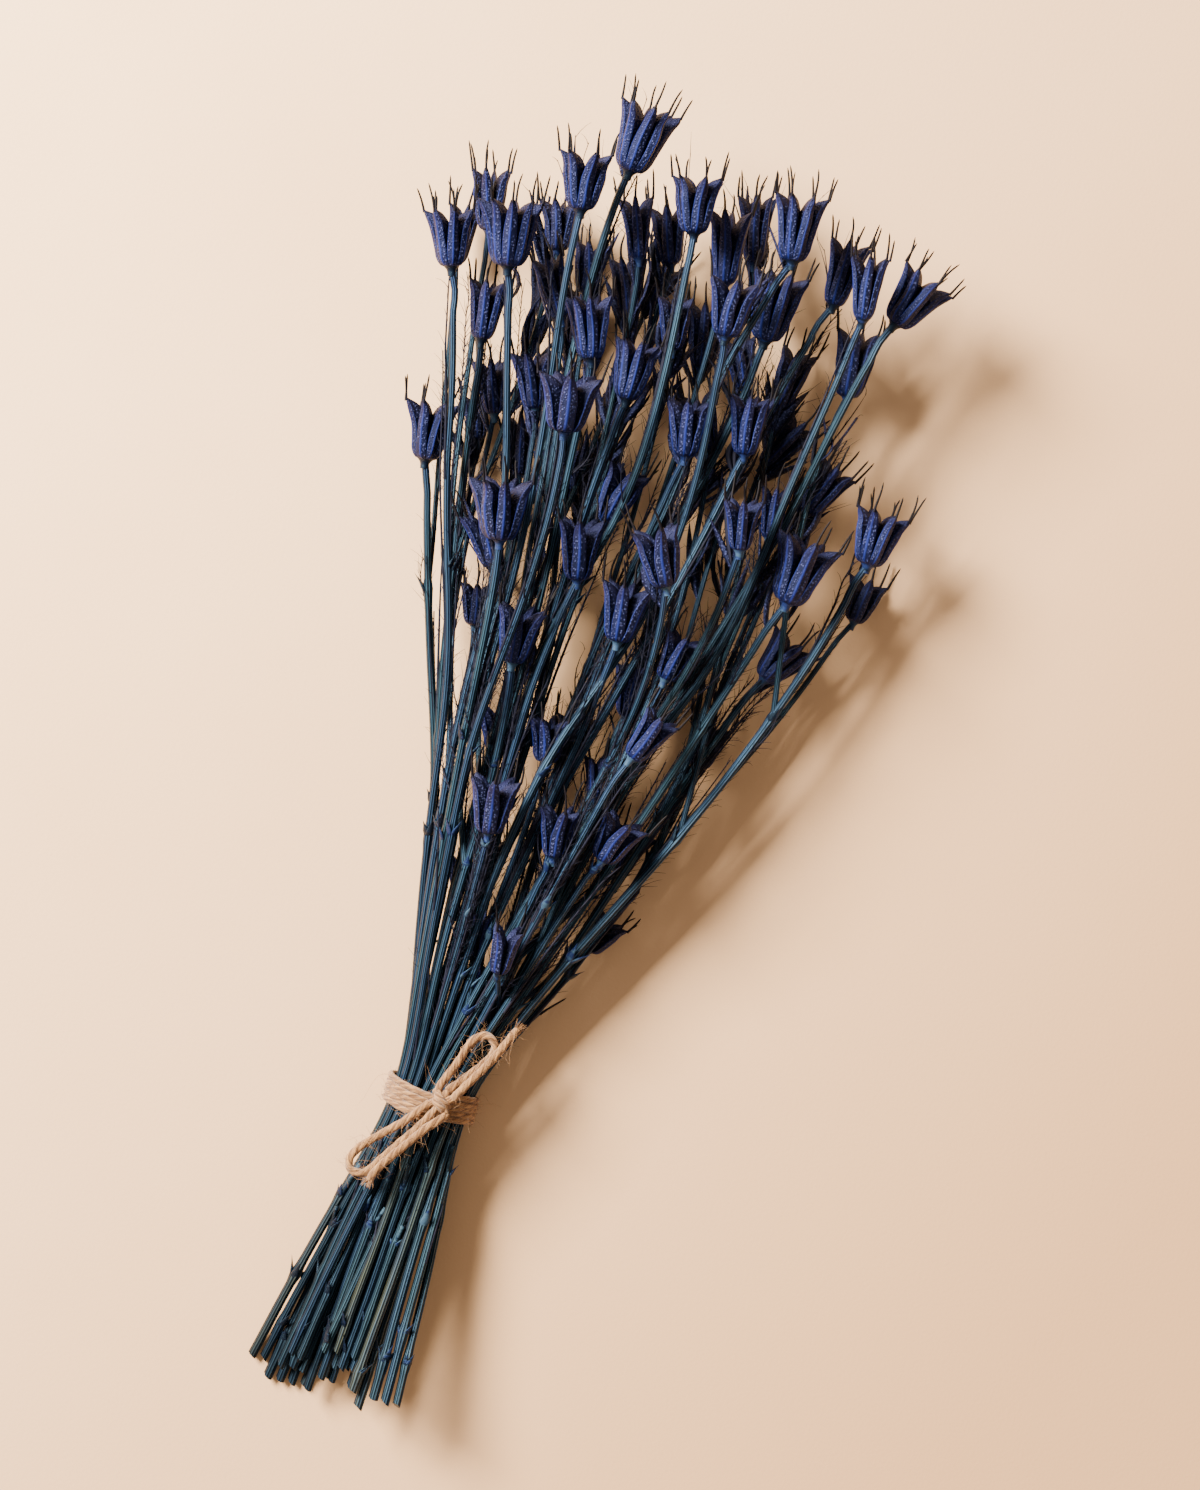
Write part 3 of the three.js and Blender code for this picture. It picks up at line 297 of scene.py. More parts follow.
class Shoot:
    """One stem or branch with its pod, from a row of a table above."""

    def __init__(self, row, order, xs, zs, radii):
        across, down, lean, length, width, self.follicles, depth = row[:7]
        self.seen = row[7] if len(row) > 7 else []
        self.order = order
        self.random = make_random(SHOOT_SEED + order)
        self.pod_length = length * PIXEL
        self.pod_radius = width * PIXEL / 2
        rough_y = photo_to_bunch((across, down), self.pod_radius)[1]
        crown = min(CROWN_AT_TIE + CROWN_RISE * rough_y, HIGHEST_CROWN)
        height = self.pod_radius + depth * max(crown - self.pod_radius, 0)
        self.aim_x, self.base_y = photo_to_bunch((across, down), height)
        self.base_x = self.aim_x
        self.base_z = self.aim_z = height
        self.lean_across = math.tan(math.radians(lean - BUNCH_LEAN))
        lean_up = LEAN_UP_SHARE * (height - BUNDLE_HEIGHT) / self.base_y
        self.lean_up = min(max(lean_up, -MOST_LEAN_UP), MOST_LEAN_UP)
        self.stretch = math.hypot(1, self.lean_across, self.lean_up)
        beak_end = self.base_y + (self.pod_length + BEAK_LENGTH) / self.stretch
        self.roll = self.random() * 2 * math.pi
        self.stem_radius = SLIMMEST_STEM + STEM_A_FOLLICLE * self.follicles
        self.last_free = math.floor((self.base_y - NECK_LENGTH + FOOT_REACH) / STATION_STEP)
        self.top = min(math.ceil((beak_end + FOOT_REACH) / STATION_STEP), STATION_COUNT - 1)
        self.first = 0
        self.parent = None
        self.branches = 0
        self.aims = []
        self.xs, self.zs, self.radii = xs, zs, radii

    def axis(self):
        direction = np.array([self.lean_across, 1, self.lean_up])
        return direction / np.linalg.norm(direction)

    def base(self):
        return np.array([self.base_x, self.base_y, self.base_z])

    def stem_radius_at(self, y):
        return self.stem_radius * (1 + FOOT_FLARE * np.maximum(-np.asarray(y, float), 0) / FOOT_REACH)

    def align_pod(self):
        pod = slice(self.last_free + 1, self.top + 1)
        along = STATIONS[pod] - self.base_y
        self.xs[pod] = self.base_x + self.lean_across * along
        self.zs[pod] = self.base_z + self.lean_up * along

    def size_pod_discs(self):
        for k in range(self.last_free + 1, self.top + 1):
            along = STATIONS[k] + STATION_STEP / 2 - self.base_y
            share = along * self.stretch / self.pod_length
            disc = self.pod_radius * pod_radius_at(share) * math.hypot(1, self.lean_across)
            self.radii[k] = self.stem_radius if share < 0 else max(disc, self.stem_radius)

    def size_stem_discs(self):
        free = slice(self.first, self.last_free + 1)
        reach = slice(self.first, self.last_free + 2)
        slope_x, slope_z = (np.diff(line[reach]) / STATION_STEP for line in (self.xs, self.zs))
        slant = np.minimum(np.sqrt(1 + slope_x**2 + slope_z**2), MAX_SLANT)
        self.radii[free] = self.stem_radius_at(STATIONS[free]) * slant


def lay_main_stem(shoot):
    """The straight line of a main stem through the tie, which also sets where it is cut."""
    y = shoot.base_y
    x = shoot.aim_x
    z = shoot.aim_z - BUNDLE_HEIGHT
    widen = 1 + SPREAD * y
    across = TWIST_ACROSS * y
    up = TWIST_UP * y
    size = widen * widen + across * up
    tie_x = (x * widen - z * across) / size
    tie_z = (z * widen + x * up) / size
    cut = CUT_LEAST + shoot.random() * CUT_VARIES + CUT_FOR_HEIGHT * max(tie_z, 0)
    shoot.first = station_at(cut - FOOT_REACH)
    grown = 1 + SPREAD * STATIONS
    shoot.xs[:] = tie_x * grown + TWIST_ACROSS * tie_z * STATIONS
    shoot.zs[:] = BUNDLE_HEIGHT + tie_z * grown - TWIST_UP * tie_x * STATIONS
    for pixel in shoot.seen:
        seen_x, seen_y = photo_to_bunch(pixel, AIM_SHARE * shoot.aim_z)
        shoot.aims.append((station_at(seen_y), seen_x))


def fan_out_feet(stems):
    """Below the tie the stems turn aside, each to its place in the fan of cut ends."""
    order = sorted(stems, key=lambda stem: stem.xs[station_at(0)])
    for rank, stem in enumerate(order):
        place = float(np.interp(rank / (len(order) - 1), *zip(*FOOT_PLACES)))
        foot = STATIONS[stem.first]
        turn = (place - stem.xs[stem.first]) / foot
        below = slice(stem.first, station_at(0))
        stem.xs[below] += turn * STATIONS[below]


def lay_branch(shoot, stems):
    """A branch leaves the main stem that passes nearest to it, and rather one with few branches."""
    length = min(BRANCH_LENGTH_SHARE * (shoot.base_y - LOWEST_FORK), MAX_BRANCH_LENGTH)
    wanted = station_at(max(shoot.base_y - length, LOWEST_FORK))
    start = min(wanted, shoot.last_free - 1)
    nearest = math.inf
    for stem in stems:
        if stem.last_free > start + 2:
            across = stem.xs[start] - shoot.aim_x * AIM_SHARE
            up = stem.zs[start] - shoot.aim_z * AIM_SHARE
            cost = math.hypot(across, up) + FORKED_AWAY * stem.branches
            if cost < nearest:
                nearest = cost
                shoot.parent = stem
    shoot.parent.branches += 1
    shoot.first = start
    shoot.stem_radius *= BRANCH_SHARE
    for k in range(start, shoot.last_free + 1):
        share = (k - start) / (shoot.last_free + 1 - start)
        shoot.xs[k] = lerp(shoot.parent.xs[start], shoot.aim_x, share)
        shoot.zs[k] = lerp(shoot.parent.zs[start], shoot.aim_z, share)


class Contacts:
    """Every pair of shoots side by side, at each station and halfway to the next."""

    NEAR = 6

    def __init__(self, shoots):
        rows = []
        for half in range(2 * STATION_COUNT - 1):
            k, after = half // 2, (half + 1) // 2
            here = [s.order for s in shoots if s.first <= k and after <= s.top]
            for place, one in enumerate(here):
                for other in here[place + 1 :]:
                    branch = shoots[other]
                    if branch.parent is shoots[one] and k < branch.first + 4:
                        continue
                    rows.append((one, other, k, after))
        self.pairs = np.array(rows).T
        last_free = np.array([s.last_free for s in shoots])
        self.weights = [
            np.where(self.pairs[2] > last_free[self.pairs[side]], POD_WEIGHT, 1.0) for side in (0, 1)
        ]
        self.size = len(shoots) * STATION_COUNT
        self.near = slice(None)

    def gaps(self, xs, zs, radii, chosen):
        one, other, k, after = self.pairs[:, chosen]
        dx, dz = (
            (line[one, k] + line[one, after] - line[other, k] - line[other, after]) / 2
            for line in (xs, zs)
        )
        discs = radii[one, k] + radii[one, after] + radii[other, k] + radii[other, after]
        return dx, dz, np.hypot(dx, dz), discs / 2 + CLEARANCE

    def refresh(self, xs, zs, radii):
        """Picks out the pairs that are near each other now."""
        _, _, away, need = self.gaps(xs, zs, radii, slice(None))
        self.near = np.flatnonzero(away < need + self.NEAR)

    def pushes(self, xs, zs, radii):
        """Sums of the pushes on every disc, and how many there are."""
        dx, dz, away, need = self.gaps(xs, zs, radii, self.near)
        touching = (away < need) & (away > 0)
        chosen = self.near[touching]
        dx, dz, away, need = (part[touching] for part in (dx, dz, away, need))
        one, other, k, after = self.pairs[:, chosen]
        weight_one, weight_other = self.weights[0][chosen], self.weights[1][chosen]
        push = (need - away) / away / (weight_one + weight_other)
        halfway = after > k
        where = [one * STATION_COUNT + k, other * STATION_COUNT + k]
        where += [(one * STATION_COUNT + after)[halfway], (other * STATION_COUNT + after)[halfway]]
        where = np.concatenate(where)

        def total(amount):
            one_side, other_side = amount * weight_one, -amount * weight_other
            parts = [one_side, other_side, one_side[halfway], other_side[halfway]]
            return np.bincount(where, np.concatenate(parts), self.size).reshape(xs.shape)

        hits = np.bincount(where, minlength=self.size).reshape(xs.shape)
        return total(dx * push), total(dz * push), hits


def hold_in(shoot):
    """Shifts that keep discs above the surface, inside the twine's oval and under the bow."""
    span = slice(shoot.first, shoot.top + 1)
    y = np.abs(STATIONS[span])
    radius = shoot.radii[span]
    x = shoot.xs[span].copy()
    z = np.maximum(shoot.zs[span], radius + FLOOR_GAP)
    out = np.hypot(
        x / (BUNDLE_HALF_WIDTH - radius), (z - BUNDLE_HEIGHT) / (BUNDLE_HALF_HEIGHT - radius)
    )
    tied = (y <= BAND_REACH) & (out > 1)
    x[tied] /= out[tied]
    z[tied] = BUNDLE_HEIGHT + (z[tied] - BUNDLE_HEIGHT) / out[tied]
    under_bow = y <= BOW_REACH
    ceiling = BOW_CEILING + BOW_CEILING_RISE * y - radius
    z[under_bow] = np.minimum(z, ceiling)[under_bow]
    return x - shoot.xs[span], z - shoot.zs[span]


def move_shoot(shoot, push_x, push_z, hits, settled):
    """One round for a shoot: pushed off its neighbours, drawn to its place, calmed and held in."""
    free = slice(shoot.first, shoot.last_free + 1)
    pod = slice(shoot.last_free + 1, shoot.top + 1)
    shared = np.clip(hits[free], 1, MOST_SHARED_PUSHES)
    shoot.xs[free] += push_x[free] / shared
    shoot.zs[free] += push_z[free] / shared
    touched = hits[pod] > 0
    if touched.any():
        shoot.base_x += push_x[pod][touched].sum() / touched.sum()
        shoot.base_z += push_z[pod][touched].sum() / touched.sum()
    pull = 1 - settled
    shoot.base_x += PULL_ACROSS * pull * (shoot.aim_x - shoot.base_x)
    shoot.base_z += PULL_UP * pull * (shoot.aim_z - shoot.base_z)
    for k, x in shoot.aims:
        shoot.xs[k] += PULL_SEEN * pull * (x - shoot.xs[k])
    shoot.align_pod()
    strength = lerp(CALM_FIRST, CALM_LAST, settled)
    for line in (shoot.xs, shoot.zs):
        part = line[shoot.first : shoot.last_free + 2]
        part[1:-1] += strength * ((part[:-2] + part[2:]) / 2 - part[1:-1])
    if shoot.parent:
        fork = shoot.first
        shoot.xs[fork], shoot.zs[fork] = shoot.parent.xs[fork], shoot.parent.zs[fork]
    shift_x, shift_z = hold_in(shoot)
    count = shoot.last_free + 1 - shoot.first
    shoot.xs[free] += shift_x[:count]
    shoot.zs[free] += shift_z[:count]
    shoot.base_z += max(shift_z[count:].max(), 0) + min(shift_z[count:].min(), 0)
    shoot.align_pod()
    shoot.size_stem_discs()


def lay_out_bunch():
    rows = MAIN_PODS + SIDE_PODS
    xs, zs, radii = (np.zeros((len(rows), STATION_COUNT)) for _ in range(3))
    shoots = [Shoot(row, i, xs[i], zs[i], radii[i]) for i, row in enumerate(rows)]
    stems, branches = shoots[: len(MAIN_PODS)], shoots[len(MAIN_PODS) :]
    for stem in stems:
        lay_main_stem(stem)
    fan_out_feet(stems)
    for branch in branches:
        lay_branch(branch, stems)
    for shoot in shoots:
        shoot.align_pod()
        shoot.size_pod_discs()
        shoot.size_stem_discs()
    contacts = Contacts(shoots)
    for turn in range(LAYOUT_ROUNDS):
        if turn < RESTLESS_ROUNDS or turn % REFRESH_ROUNDS == 0:
            contacts.refresh(xs, zs, radii)
        left = LAYOUT_ROUNDS - turn
        settled = 0 if left > SETTLING_ROUNDS else 1 - left / SETTLING_ROUNDS
        push_x, push_z, hits = contacts.pushes(xs, zs, radii)
        for i, shoot in enumerate(shoots):
            move_shoot(shoot, push_x[i], push_z[i], hits[i], settled)
    return stems, branches


# Where the tie is in the row frame, in millimetres
TIE_PLACE = np.array([-12.3488, -112.8002, 0.0])


def to_row(points):
    return (np.asarray(points, float) + TIE_PLACE) / 1000


def through(places, values, t):
    """Smooth curve through the values at the given places."""
    places, values = np.asarray(places, float), np.asarray(values, float)
    slopes = np.gradient(values, places)
    t = np.clip(t, places[0], places[-1])
    i = np.clip(np.searchsorted(places, t, side="right") - 1, 0, len(places) - 2)
    span = places[i + 1] - places[i]
    u = (t - places[i]) / span
    return (
        values[i] * (1 + 2 * u) * (1 - u) ** 2
        + values[i + 1] * u**2 * (3 - 2 * u)
        + span * u * (1 - u) * (slopes[i] * (1 - u) - slopes[i + 1] * u)
    )


def catmull_rom(points, shares):
    """Centripetal curve through the points, as the part's source draws leaves and twine."""
    points = np.asarray(points, float)
    first, last = 2 * points[0] - points[1], 2 * points[-1] - points[-2]
    points = np.vstack([first, points, last])
    place = np.asarray(shares, float) * (len(points) - 3)
    i = np.minimum(np.floor(place).astype(int), len(points) - 4)
    u = (place - i)[:, None]
    p0, p1, p2, p3 = (points[i + step] for step in range(4))
    d0, d1, d2 = (
        np.sqrt(np.linalg.norm(b - a, axis=1))[:, None] for a, b in ((p0, p1), (p1, p2), (p2, p3))
    )
    t1 = ((p1 - p0) / d0 - (p2 - p0) / (d0 + d1) + (p2 - p1) / d1) * d1
    t2 = ((p2 - p1) / d1 - (p3 - p1) / (d1 + d2) + (p3 - p2) / d2) * d1
    return p1 + t1 * u + (3 * (p2 - p1) - 2 * t1 - t2) * u**2 + (2 * (p1 - p2) + t1 + t2) * u**3


def unit(vectors):
    return vectors / np.linalg.norm(vectors, axis=-1, keepdims=True)


def frames_along(directions):
    """Frames across the directions, as in the part's source: side is level, lift points up."""
    along = unit(directions)
    side = unit(np.cross(along, [0, 0, 1]))
    return along, side, np.cross(side, along)


# Height of the bunch's upper side: at the tie, its rise towards the pods, its least and its most
TOP_AT_TIE, TOP_RISE, LOWEST_TOP, HIGHEST_TOP = 26, 0.1, 24, 50


def raised_share(points):
    """Height of points above the surface as a share of the bunch's own height there."""
    top = np.clip(TOP_AT_TIE + TOP_RISE * points[..., 1], LOWEST_TOP, HIGHEST_TOP)
    return np.clip(points[..., 2] / top, 0, 1)


def put_in_scene(name, data):
    made = bpy.data.objects.new(name, data)
    bpy.context.collection.objects.link(made)
    return made


class Pile:
    """Gathers grids of points into one mesh. Every point has marks that the materials read:
    tone, place, ridge, deep and raised are numbers, and grain is a place on the grown surface.
    Raised is the height above the surface as a share of the bunch's own there."""

    MARKS = ("tone", "place", "ridge", "deep", "raised")

    def __init__(self):
        self.points, self.faces, self.slots, self.marks, self.grain = [], [], [], [], []
        self.count = 0

    def add(self, grids, slot, grain=None, **marks):
        """grids has the shape (..., rows, columns, 3). A row's points run round a tube."""
        grids = grids.reshape(-1, *grids.shape[-3:])
        shape = grids.shape[:3]
        index = self.count + np.arange(grids[..., 0].size).reshape(shape)
        after = np.roll(index, -1, axis=2)
        quads = np.stack([index[:, :-1], index[:, 1:], after[:, 1:], after[:, :-1]], axis=-1)
        self.faces.append(quads.reshape(-1, 4))
        self.slots.append(np.full(len(self.faces[-1]), slot))
        self.points.append(grids.reshape(-1, 3))
        marks["raised"] = raised_share(grids)
        values = [np.broadcast_to(marks.get(name, 0.0), shape).ravel() for name in self.MARKS]
        self.marks.append(np.stack(values))
        grain = grids if grain is None else grain
        self.grain.append(np.broadcast_to(grain, grids.shape).reshape(-1, 3))
        self.count += index.size

    def build(self, name, materials):
        points = to_row(np.concatenate(self.points))
        faces = np.concatenate(self.faces)
        mesh = bpy.data.meshes.new(name)
        mesh.vertices.add(len(points))
        mesh.vertices.foreach_set("co", points.ravel())
        mesh.loops.add(faces.size)
        mesh.loops.foreach_set("vertex_index", faces.ravel())
        mesh.polygons.add(len(faces))
        mesh.polygons.foreach_set("loop_start", np.arange(0, faces.size, 4))
        mesh.polygons.foreach_set("material_index", np.concatenate(self.slots))
        mesh.polygons.foreach_set("use_smooth", np.ones(len(faces), bool))
        mesh.update(calc_edges=True)
        for mark, values in zip(self.MARKS, np.concatenate(self.marks, axis=1)):
            mesh.attributes.new(mark, "FLOAT", "POINT").data.foreach_set("value", values)
        grain = mesh.attributes.new("grain", "FLOAT_VECTOR", "POINT")
        grain.data.foreach_set("vector", np.concatenate(self.grain).ravel())
        for material in materials:
            mesh.materials.append(material)
        made = put_in_scene(name, mesh)
        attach(made, "root")
        return made


def circle(sides):
    """Angles of the points of a ring."""
    return np.arange(sides) * 2 * np.pi / sides


def tube(centres, radii, angles, directions=None, rises=0):
    """Rings of points along a centre line. radii is a number for each ring, or for each point."""
    centres = np.asarray(centres, float)
    if directions is None:
        directions = np.gradient(centres, axis=-2)
    along, side, lift = (part[..., None, :] for part in frames_along(directions))
    radii = np.asarray(radii, float)
    if radii.shape[-1:] != (len(angles),) or radii.ndim < centres.ndim:
        radii = np.broadcast_to(radii[..., None], (*centres.shape[:-1], len(angles)))
    around = np.cos(angles)[:, None] * side + np.sin(angles)[:, None] * lift
    rises = np.broadcast_to(rises, radii.shape)[..., None]
    return centres[..., None, :] + radii[..., None] * around + rises * along


# Stems: ribbed tubes, a little thicker at the nodes, with a slanting cut at the foot. They are
# slimmer than the solids, and along SLIMMING_RUN they slim from one share to the other
STEM, POD, BEAK, LEAF = range(4)
STEM_SIDES = 14
STEM_STEP = 3.2
RIB_HEIGHT = 0.1
STRAIGHTENING = 120
LAST_STRAIGHTENING = 2
MOST_STRAIGHTENED = 2.2
HELD_UNDER_BOW = 6
HELD_FAST = 400
NECK_KNOTS = np.array([0.7, 0.35, 0]) * NECK_LENGTH
NECK_HELD = (0.3, 1, HELD_FAST)
WAVER = 0.15
WAVER_GROWS = 20
SLIM_LOW, SLIM_HIGH = 0.94, 0.84
SLIMMING_RUN = (90, 200)
NODE_SWELLING = 0.38
NODE_LENGTH = 2.2
CUT_RINGS = np.array([[0.05], [0.6], [1]])
NEAR_POD_REACH = 15.6
GRAIN_APART = 411.3
GRAIN_ROUND = 1.2
WHOLE_TURN = 6.3
SURFACE_GAP = 0.05
ROUND = circle(STEM_SIDES)


def straighten(values, held, strength):
    """Values with their short waves smoothed out, and nearly kept where held is large."""
    count = len(values)
    bend = np.zeros((count - 2, count))
    for row in range(count - 2):
        bend[row, row : row + 3] = (1, -2, 1)
    return np.linalg.solve(np.diag(held) + strength * bend.T @ bend, held * values)


def stem_line(shoot, rng):
    """Centre points of a stem: its stations, straightened as far as the bunch leaves room."""
    free = slice(shoot.first, shoot.last_free + 1)
    neck = shoot.base_y - NECK_KNOTS
    knots = np.concatenate([STATIONS[free], neck])
    held = np.ones(len(knots))
    held[np.abs(knots) < BOW_REACH] = HELD_UNDER_BOW
    held[-3:] = NECK_HELD
    if shoot.parent:
        held[0] = HELD_FAST
    lines = []
    for values, base, lean in (
        (shoot.xs, shoot.base_x, shoot.lean_across), (shoot.zs, shoot.base_z, shoot.lean_up)
    ):
        rough = np.concatenate([values[free], base + lean * (neck - shoot.base_y)])
        calm = straighten(rough, held, STRAIGHTENING)
        near = rough + np.clip(calm - rough, -MOST_STRAIGHTENED, MOST_STRAIGHTENED)
        lines.append(straighten(near, held, LAST_STRAIGHTENING))
    xs, zs = lines
    zs = np.maximum(zs, shoot.stem_radius + FLOOR_GAP)
    count = max(round((knots[-1] - knots[0]) / STEM_STEP), 4)
    ys = np.linspace(knots[0], knots[-1], count + 1)
    calm = smooth(np.minimum(ys - ys[0], ys[-1] - ys), 0, WAVER_GROWS)
    waves = [
        WAVER * calm * np.sin(ys / rng.uniform(9, 16) + rng.uniform(0, WHOLE_TURN))
        for _ in range(2)
    ]
    return np.stack([through(knots, xs, ys) + waves[0], ys, through(knots, zs, ys) + waves[1]], 1)


def add_stem(pile, shoot, nodes, rng):
    line = stem_line(shoot, rng)
    ys = line[:, 1]
    radius = shoot.stem_radius_at(ys) * lerp(SLIM_LOW, SLIM_HIGH, smooth(ys, *SLIMMING_RUN))
    for node in nodes:
        radius = radius * (1 + NODE_SWELLING * np.exp(-(((ys - node) / NODE_LENGTH) ** 2)))
    line[:, 2] = np.maximum(line[:, 2], radius * (1 + RIB_HEIGHT) + SURFACE_GAP)
    ribs = np.where(np.arange(STEM_SIDES) % 2, 1.0, -1.0)
    radii = radius[:, None] * (1 + RIB_HEIGHT * ribs)
    rises = np.zeros_like(radii)
    if not shoot.parent:
        slant = rng.uniform(0.5, 1.15) * np.cos(ROUND - rng.uniform(-0.6, 1.2))
        rises[0] = -slant
        foot, heading = (part[:1].repeat(3, 0) for part in (line, np.gradient(line, axis=0)))
        cut = tube(foot, radii[:1] * CUT_RINGS, ROUND, heading, -slant * CUT_RINGS)
        pile.add(cut, STEM, cut * 3, tone=0.2, deep=-1)
    grid = tube(line, radii, ROUND, rises=rises)
    grain = np.empty_like(grid)
    grain[..., 0] = ys[:, None] + shoot.order * GRAIN_APART
    grain[..., 1:] = np.stack([np.cos(ROUND), np.sin(ROUND)], 1) * GRAIN_ROUND
    place = (ys + FOOT_REACH) / (FOOT_REACH + HEAD_REACH)
    near_pod = np.exp(-(shoot.base_y - ys) / NEAR_POD_REACH)
    pile.add(
        grid, STEM, grain, tone=rng.uniform(), place=place[:, None], ridge=ribs,
        deep=near_pod[:, None],
    )
    return line


# Cross-section of a follicle from its outer keel to its inner seam: share of its depth inwards,
# share of its half thickness sideways, how much of the point is nerve, and how much painted shade it
# takes
INWARDS, ACROSS, NERVE, DARK = np.array([
    (-0.060, 0.00, 1.0, 0.0), (-0.040, 0.16, 1.0, 0.1), (0.004, 0.30, 0.0, 0.5),
    (0.040, 0.72, 0.0, 0.2), (0.100, 0.95, 0.0, 0.6), (0.145, 1.12, 1.0, 0.1),
    (0.190, 0.95, 0.0, 0.85), (0.480, 0.88, 0.0, 1.0), (0.850, 0.60, 0.1, 1.0),
    (1.000, 0.10, 0.3, 1.0),
]).T
OPEN_LIP = (1.0, 0.75)
OPEN_SEAM = (0.72, 0.08)
HEIGHTS = np.array([
    0, 0.015, 0.04, 0.08, 0.13, 0.2, 0.3, 0.4, 0.5, 0.59, 0.67, 0.74, 0.8, 0.86, 0.91, 0.945, 0.97,
    0.987, 1,
])
# Heights on a pod where the keel's distance from the axis is given
KEEL_HEIGHTS = [0, 0.03, 0.08, 0.14, 0.35, 0.6, 0.8, 0.92, 1]
# Half thickness of a follicle at heights on it, as a share of its own
THICKNESS = [
    (0, 0.06, 0.2, 0.45, 0.65, 0.82, 0.93, 1), (0.72, 0.95, 1.05, 1.05, 1.0, 0.86, 0.58, 0.32)
]
THICK_OF_THREE, THICK_OF_EIGHT = 0.27, 0.165
BEAK_SPLAY = 0.14
BEAK_RADIUS = 0.46
BEAK_TIP_RADIUS = 0.08
BEAK_TAPER = 0.42
BEAK_SUNK = 0.09
BEAK_ANGLES = circle(5)
SPLIT_BEAKS = 0.35
POD_FULLNESS = 1.1
FIRST_STEM_ANGLE = math.pi / 4
# The collar under a pod: rise along the axis, width in stem radii, and nearness to the pod
COLLAR = np.array([
    (-2.6, 0.99, 0.8), (-1.3, 1.06, 0.89), (-0.5, 1.25, 0.98), (0.0, 1.62, 1.055), (0.45, 1.9, 1.1)
]).T


class Horn:
    """A follicle's own measures, drawn as in the part's source."""

    def __init__(self, shoot, step):
        # The part's source draws the shoulder's height first, which isn't used here
        shoot.random()
        self.splay = shoot.pod_radius * POD_FULLNESS * (0.88 + 0.16 * shoot.random())
        self.reach = BEAK_LENGTH * (0.6 + 0.4 * shoot.random())
        self.drift = (shoot.random() - 0.5) * 0.5 * step


def add_pod(pile, shoot, rng):
    place = (shoot.base(), *frames_along(shoot.axis()))
    step = math.pi / shoot.follicles
    first = FIRST_STEM_ANGLE + (shoot.roll % (2 * step)) * 0.5
    horns = [Horn(shoot, step) for _ in range(shoot.follicles)]
    tone = rng.uniform()
    for i, horn in enumerate(horns):
        add_follicle(pile, shoot, horn, first + (2 * i + 1) * step, place, tone, rng)
    add_receptacle(pile, shoot, place)


def mirrored(values, sign=1):
    """Values from the keel round to the seam, then back on the other side to the keel."""
    return np.concatenate([values, sign * values[..., :0:-1]], axis=-1)


def add_follicle(pile, shoot, horn, middle, place, tone, rng):
    """A slim, deep blade with three nerves on its back, pointed at its outer corner."""
    base, along, side, lift = place
    wide = shoot.pod_radius * POD_FULLNESS
    stem = shoot.stem_radius / wide
    fold = 1 + rng.uniform(-0.04, 0.04)
    flare = rng.uniform(0.97, 1.1)
    keel = wide * through(KEEL_HEIGHTS, [
        stem * 0.8, 0.34, 0.46, 0.53, 0.63 * fold, 0.74 * fold,
        0.87 * horn.splay / wide, 0.98 * horn.splay / wide, flare * horn.splay / wide,
    ], HEIGHTS)
    cleft = rng.uniform(0.46, 0.6)
    inner = through(
        [0, 0.3, cleft, cleft + 0.12, 0.8, 0.88, 0.93, 0.965, 0.985, 1],
        [0.02, 0.04, 0.09, 0.19, 0.34, 0.49, 0.61, 0.75, 0.86, 0.94], HEIGHTS)
    depth = (keel * (1 - inner))[:, None]
    slim = wide * lerp(THICK_OF_THREE, THICK_OF_EIGHT, (shoot.follicles - 3) / 5)
    slim *= rng.uniform(0.92, 1.08)
    half = np.maximum(slim * through(*THICKNESS, HEIGHTS), BEAK_RADIUS)
    opened = smooth(HEIGHTS, cleft, cleft + 0.2) * (1 - smooth(HEIGHTS, 0.95, 1))
    inwards, across = (np.tile(part, (len(HEIGHTS), 1)) for part in (INWARDS, ACROSS))
    for column, (to_in, to_across) in ((-2, OPEN_LIP), (-1, OPEN_SEAM)):
        inwards[:, column] = lerp(inwards[:, column], to_in, opened)
        across[:, column] = lerp(across[:, column], to_across, opened)
    inwards, across = mirrored(inwards), mirrored(across, -1)
    wobble = 1 + 0.04 * np.sin(HEIGHTS * rng.uniform(9, 15) + rng.uniform(0, WHOLE_TURN))
    radial = keel[:, None] - depth * inwards
    sideways = (half * wobble)[:, None] * across
    sway = rng.uniform(-0.1, 0.1) * wide * smooth(HEIGHTS, 0.4, 1)
    turn = (middle + horn.drift * smooth(HEIGHTS, 0.35, 1))[:, None]
    out = np.cos(turn) * side + np.sin(turn) * lift
    aside = -np.sin(turn) * side + np.cos(turn) * lift
    rise = (HEIGHTS * shoot.pod_length)[:, None]
    grid = (
        base + (rise * along)[:, None, :] + radial[..., None] * out[:, None, :]
        + (sideways + sway[:, None])[..., None] * aside[:, None, :]
    )
    grain = np.stack([np.broadcast_to(rise, radial.shape), depth * inwards, sideways], axis=-1)
    grain += shoot.order * 7.7 + rng.uniform(0, 50)
    # Painted shade in the grooves and on the inner walls between follicles, less towards the top
    groove = mirrored(DARK) * (1 - 0.5 * smooth(HEIGHTS, 0.5, 0.75))[:, None]
    own = np.clip(tone + rng.uniform(-0.22, 0.22), 0, 1)
    pile.add(
        grid, POD, grain, tone=own, place=HEIGHTS[:, None], ridge=mirrored(NERVE), deep=groove
    )
    tip = base + along * shoot.pod_length + out[-1] * (flare * horn.splay - 0.1)
    add_beaks(pile, tip + aside[-1] * sway[-1], along, out[-1], aside[-1], horn.reach, rng)


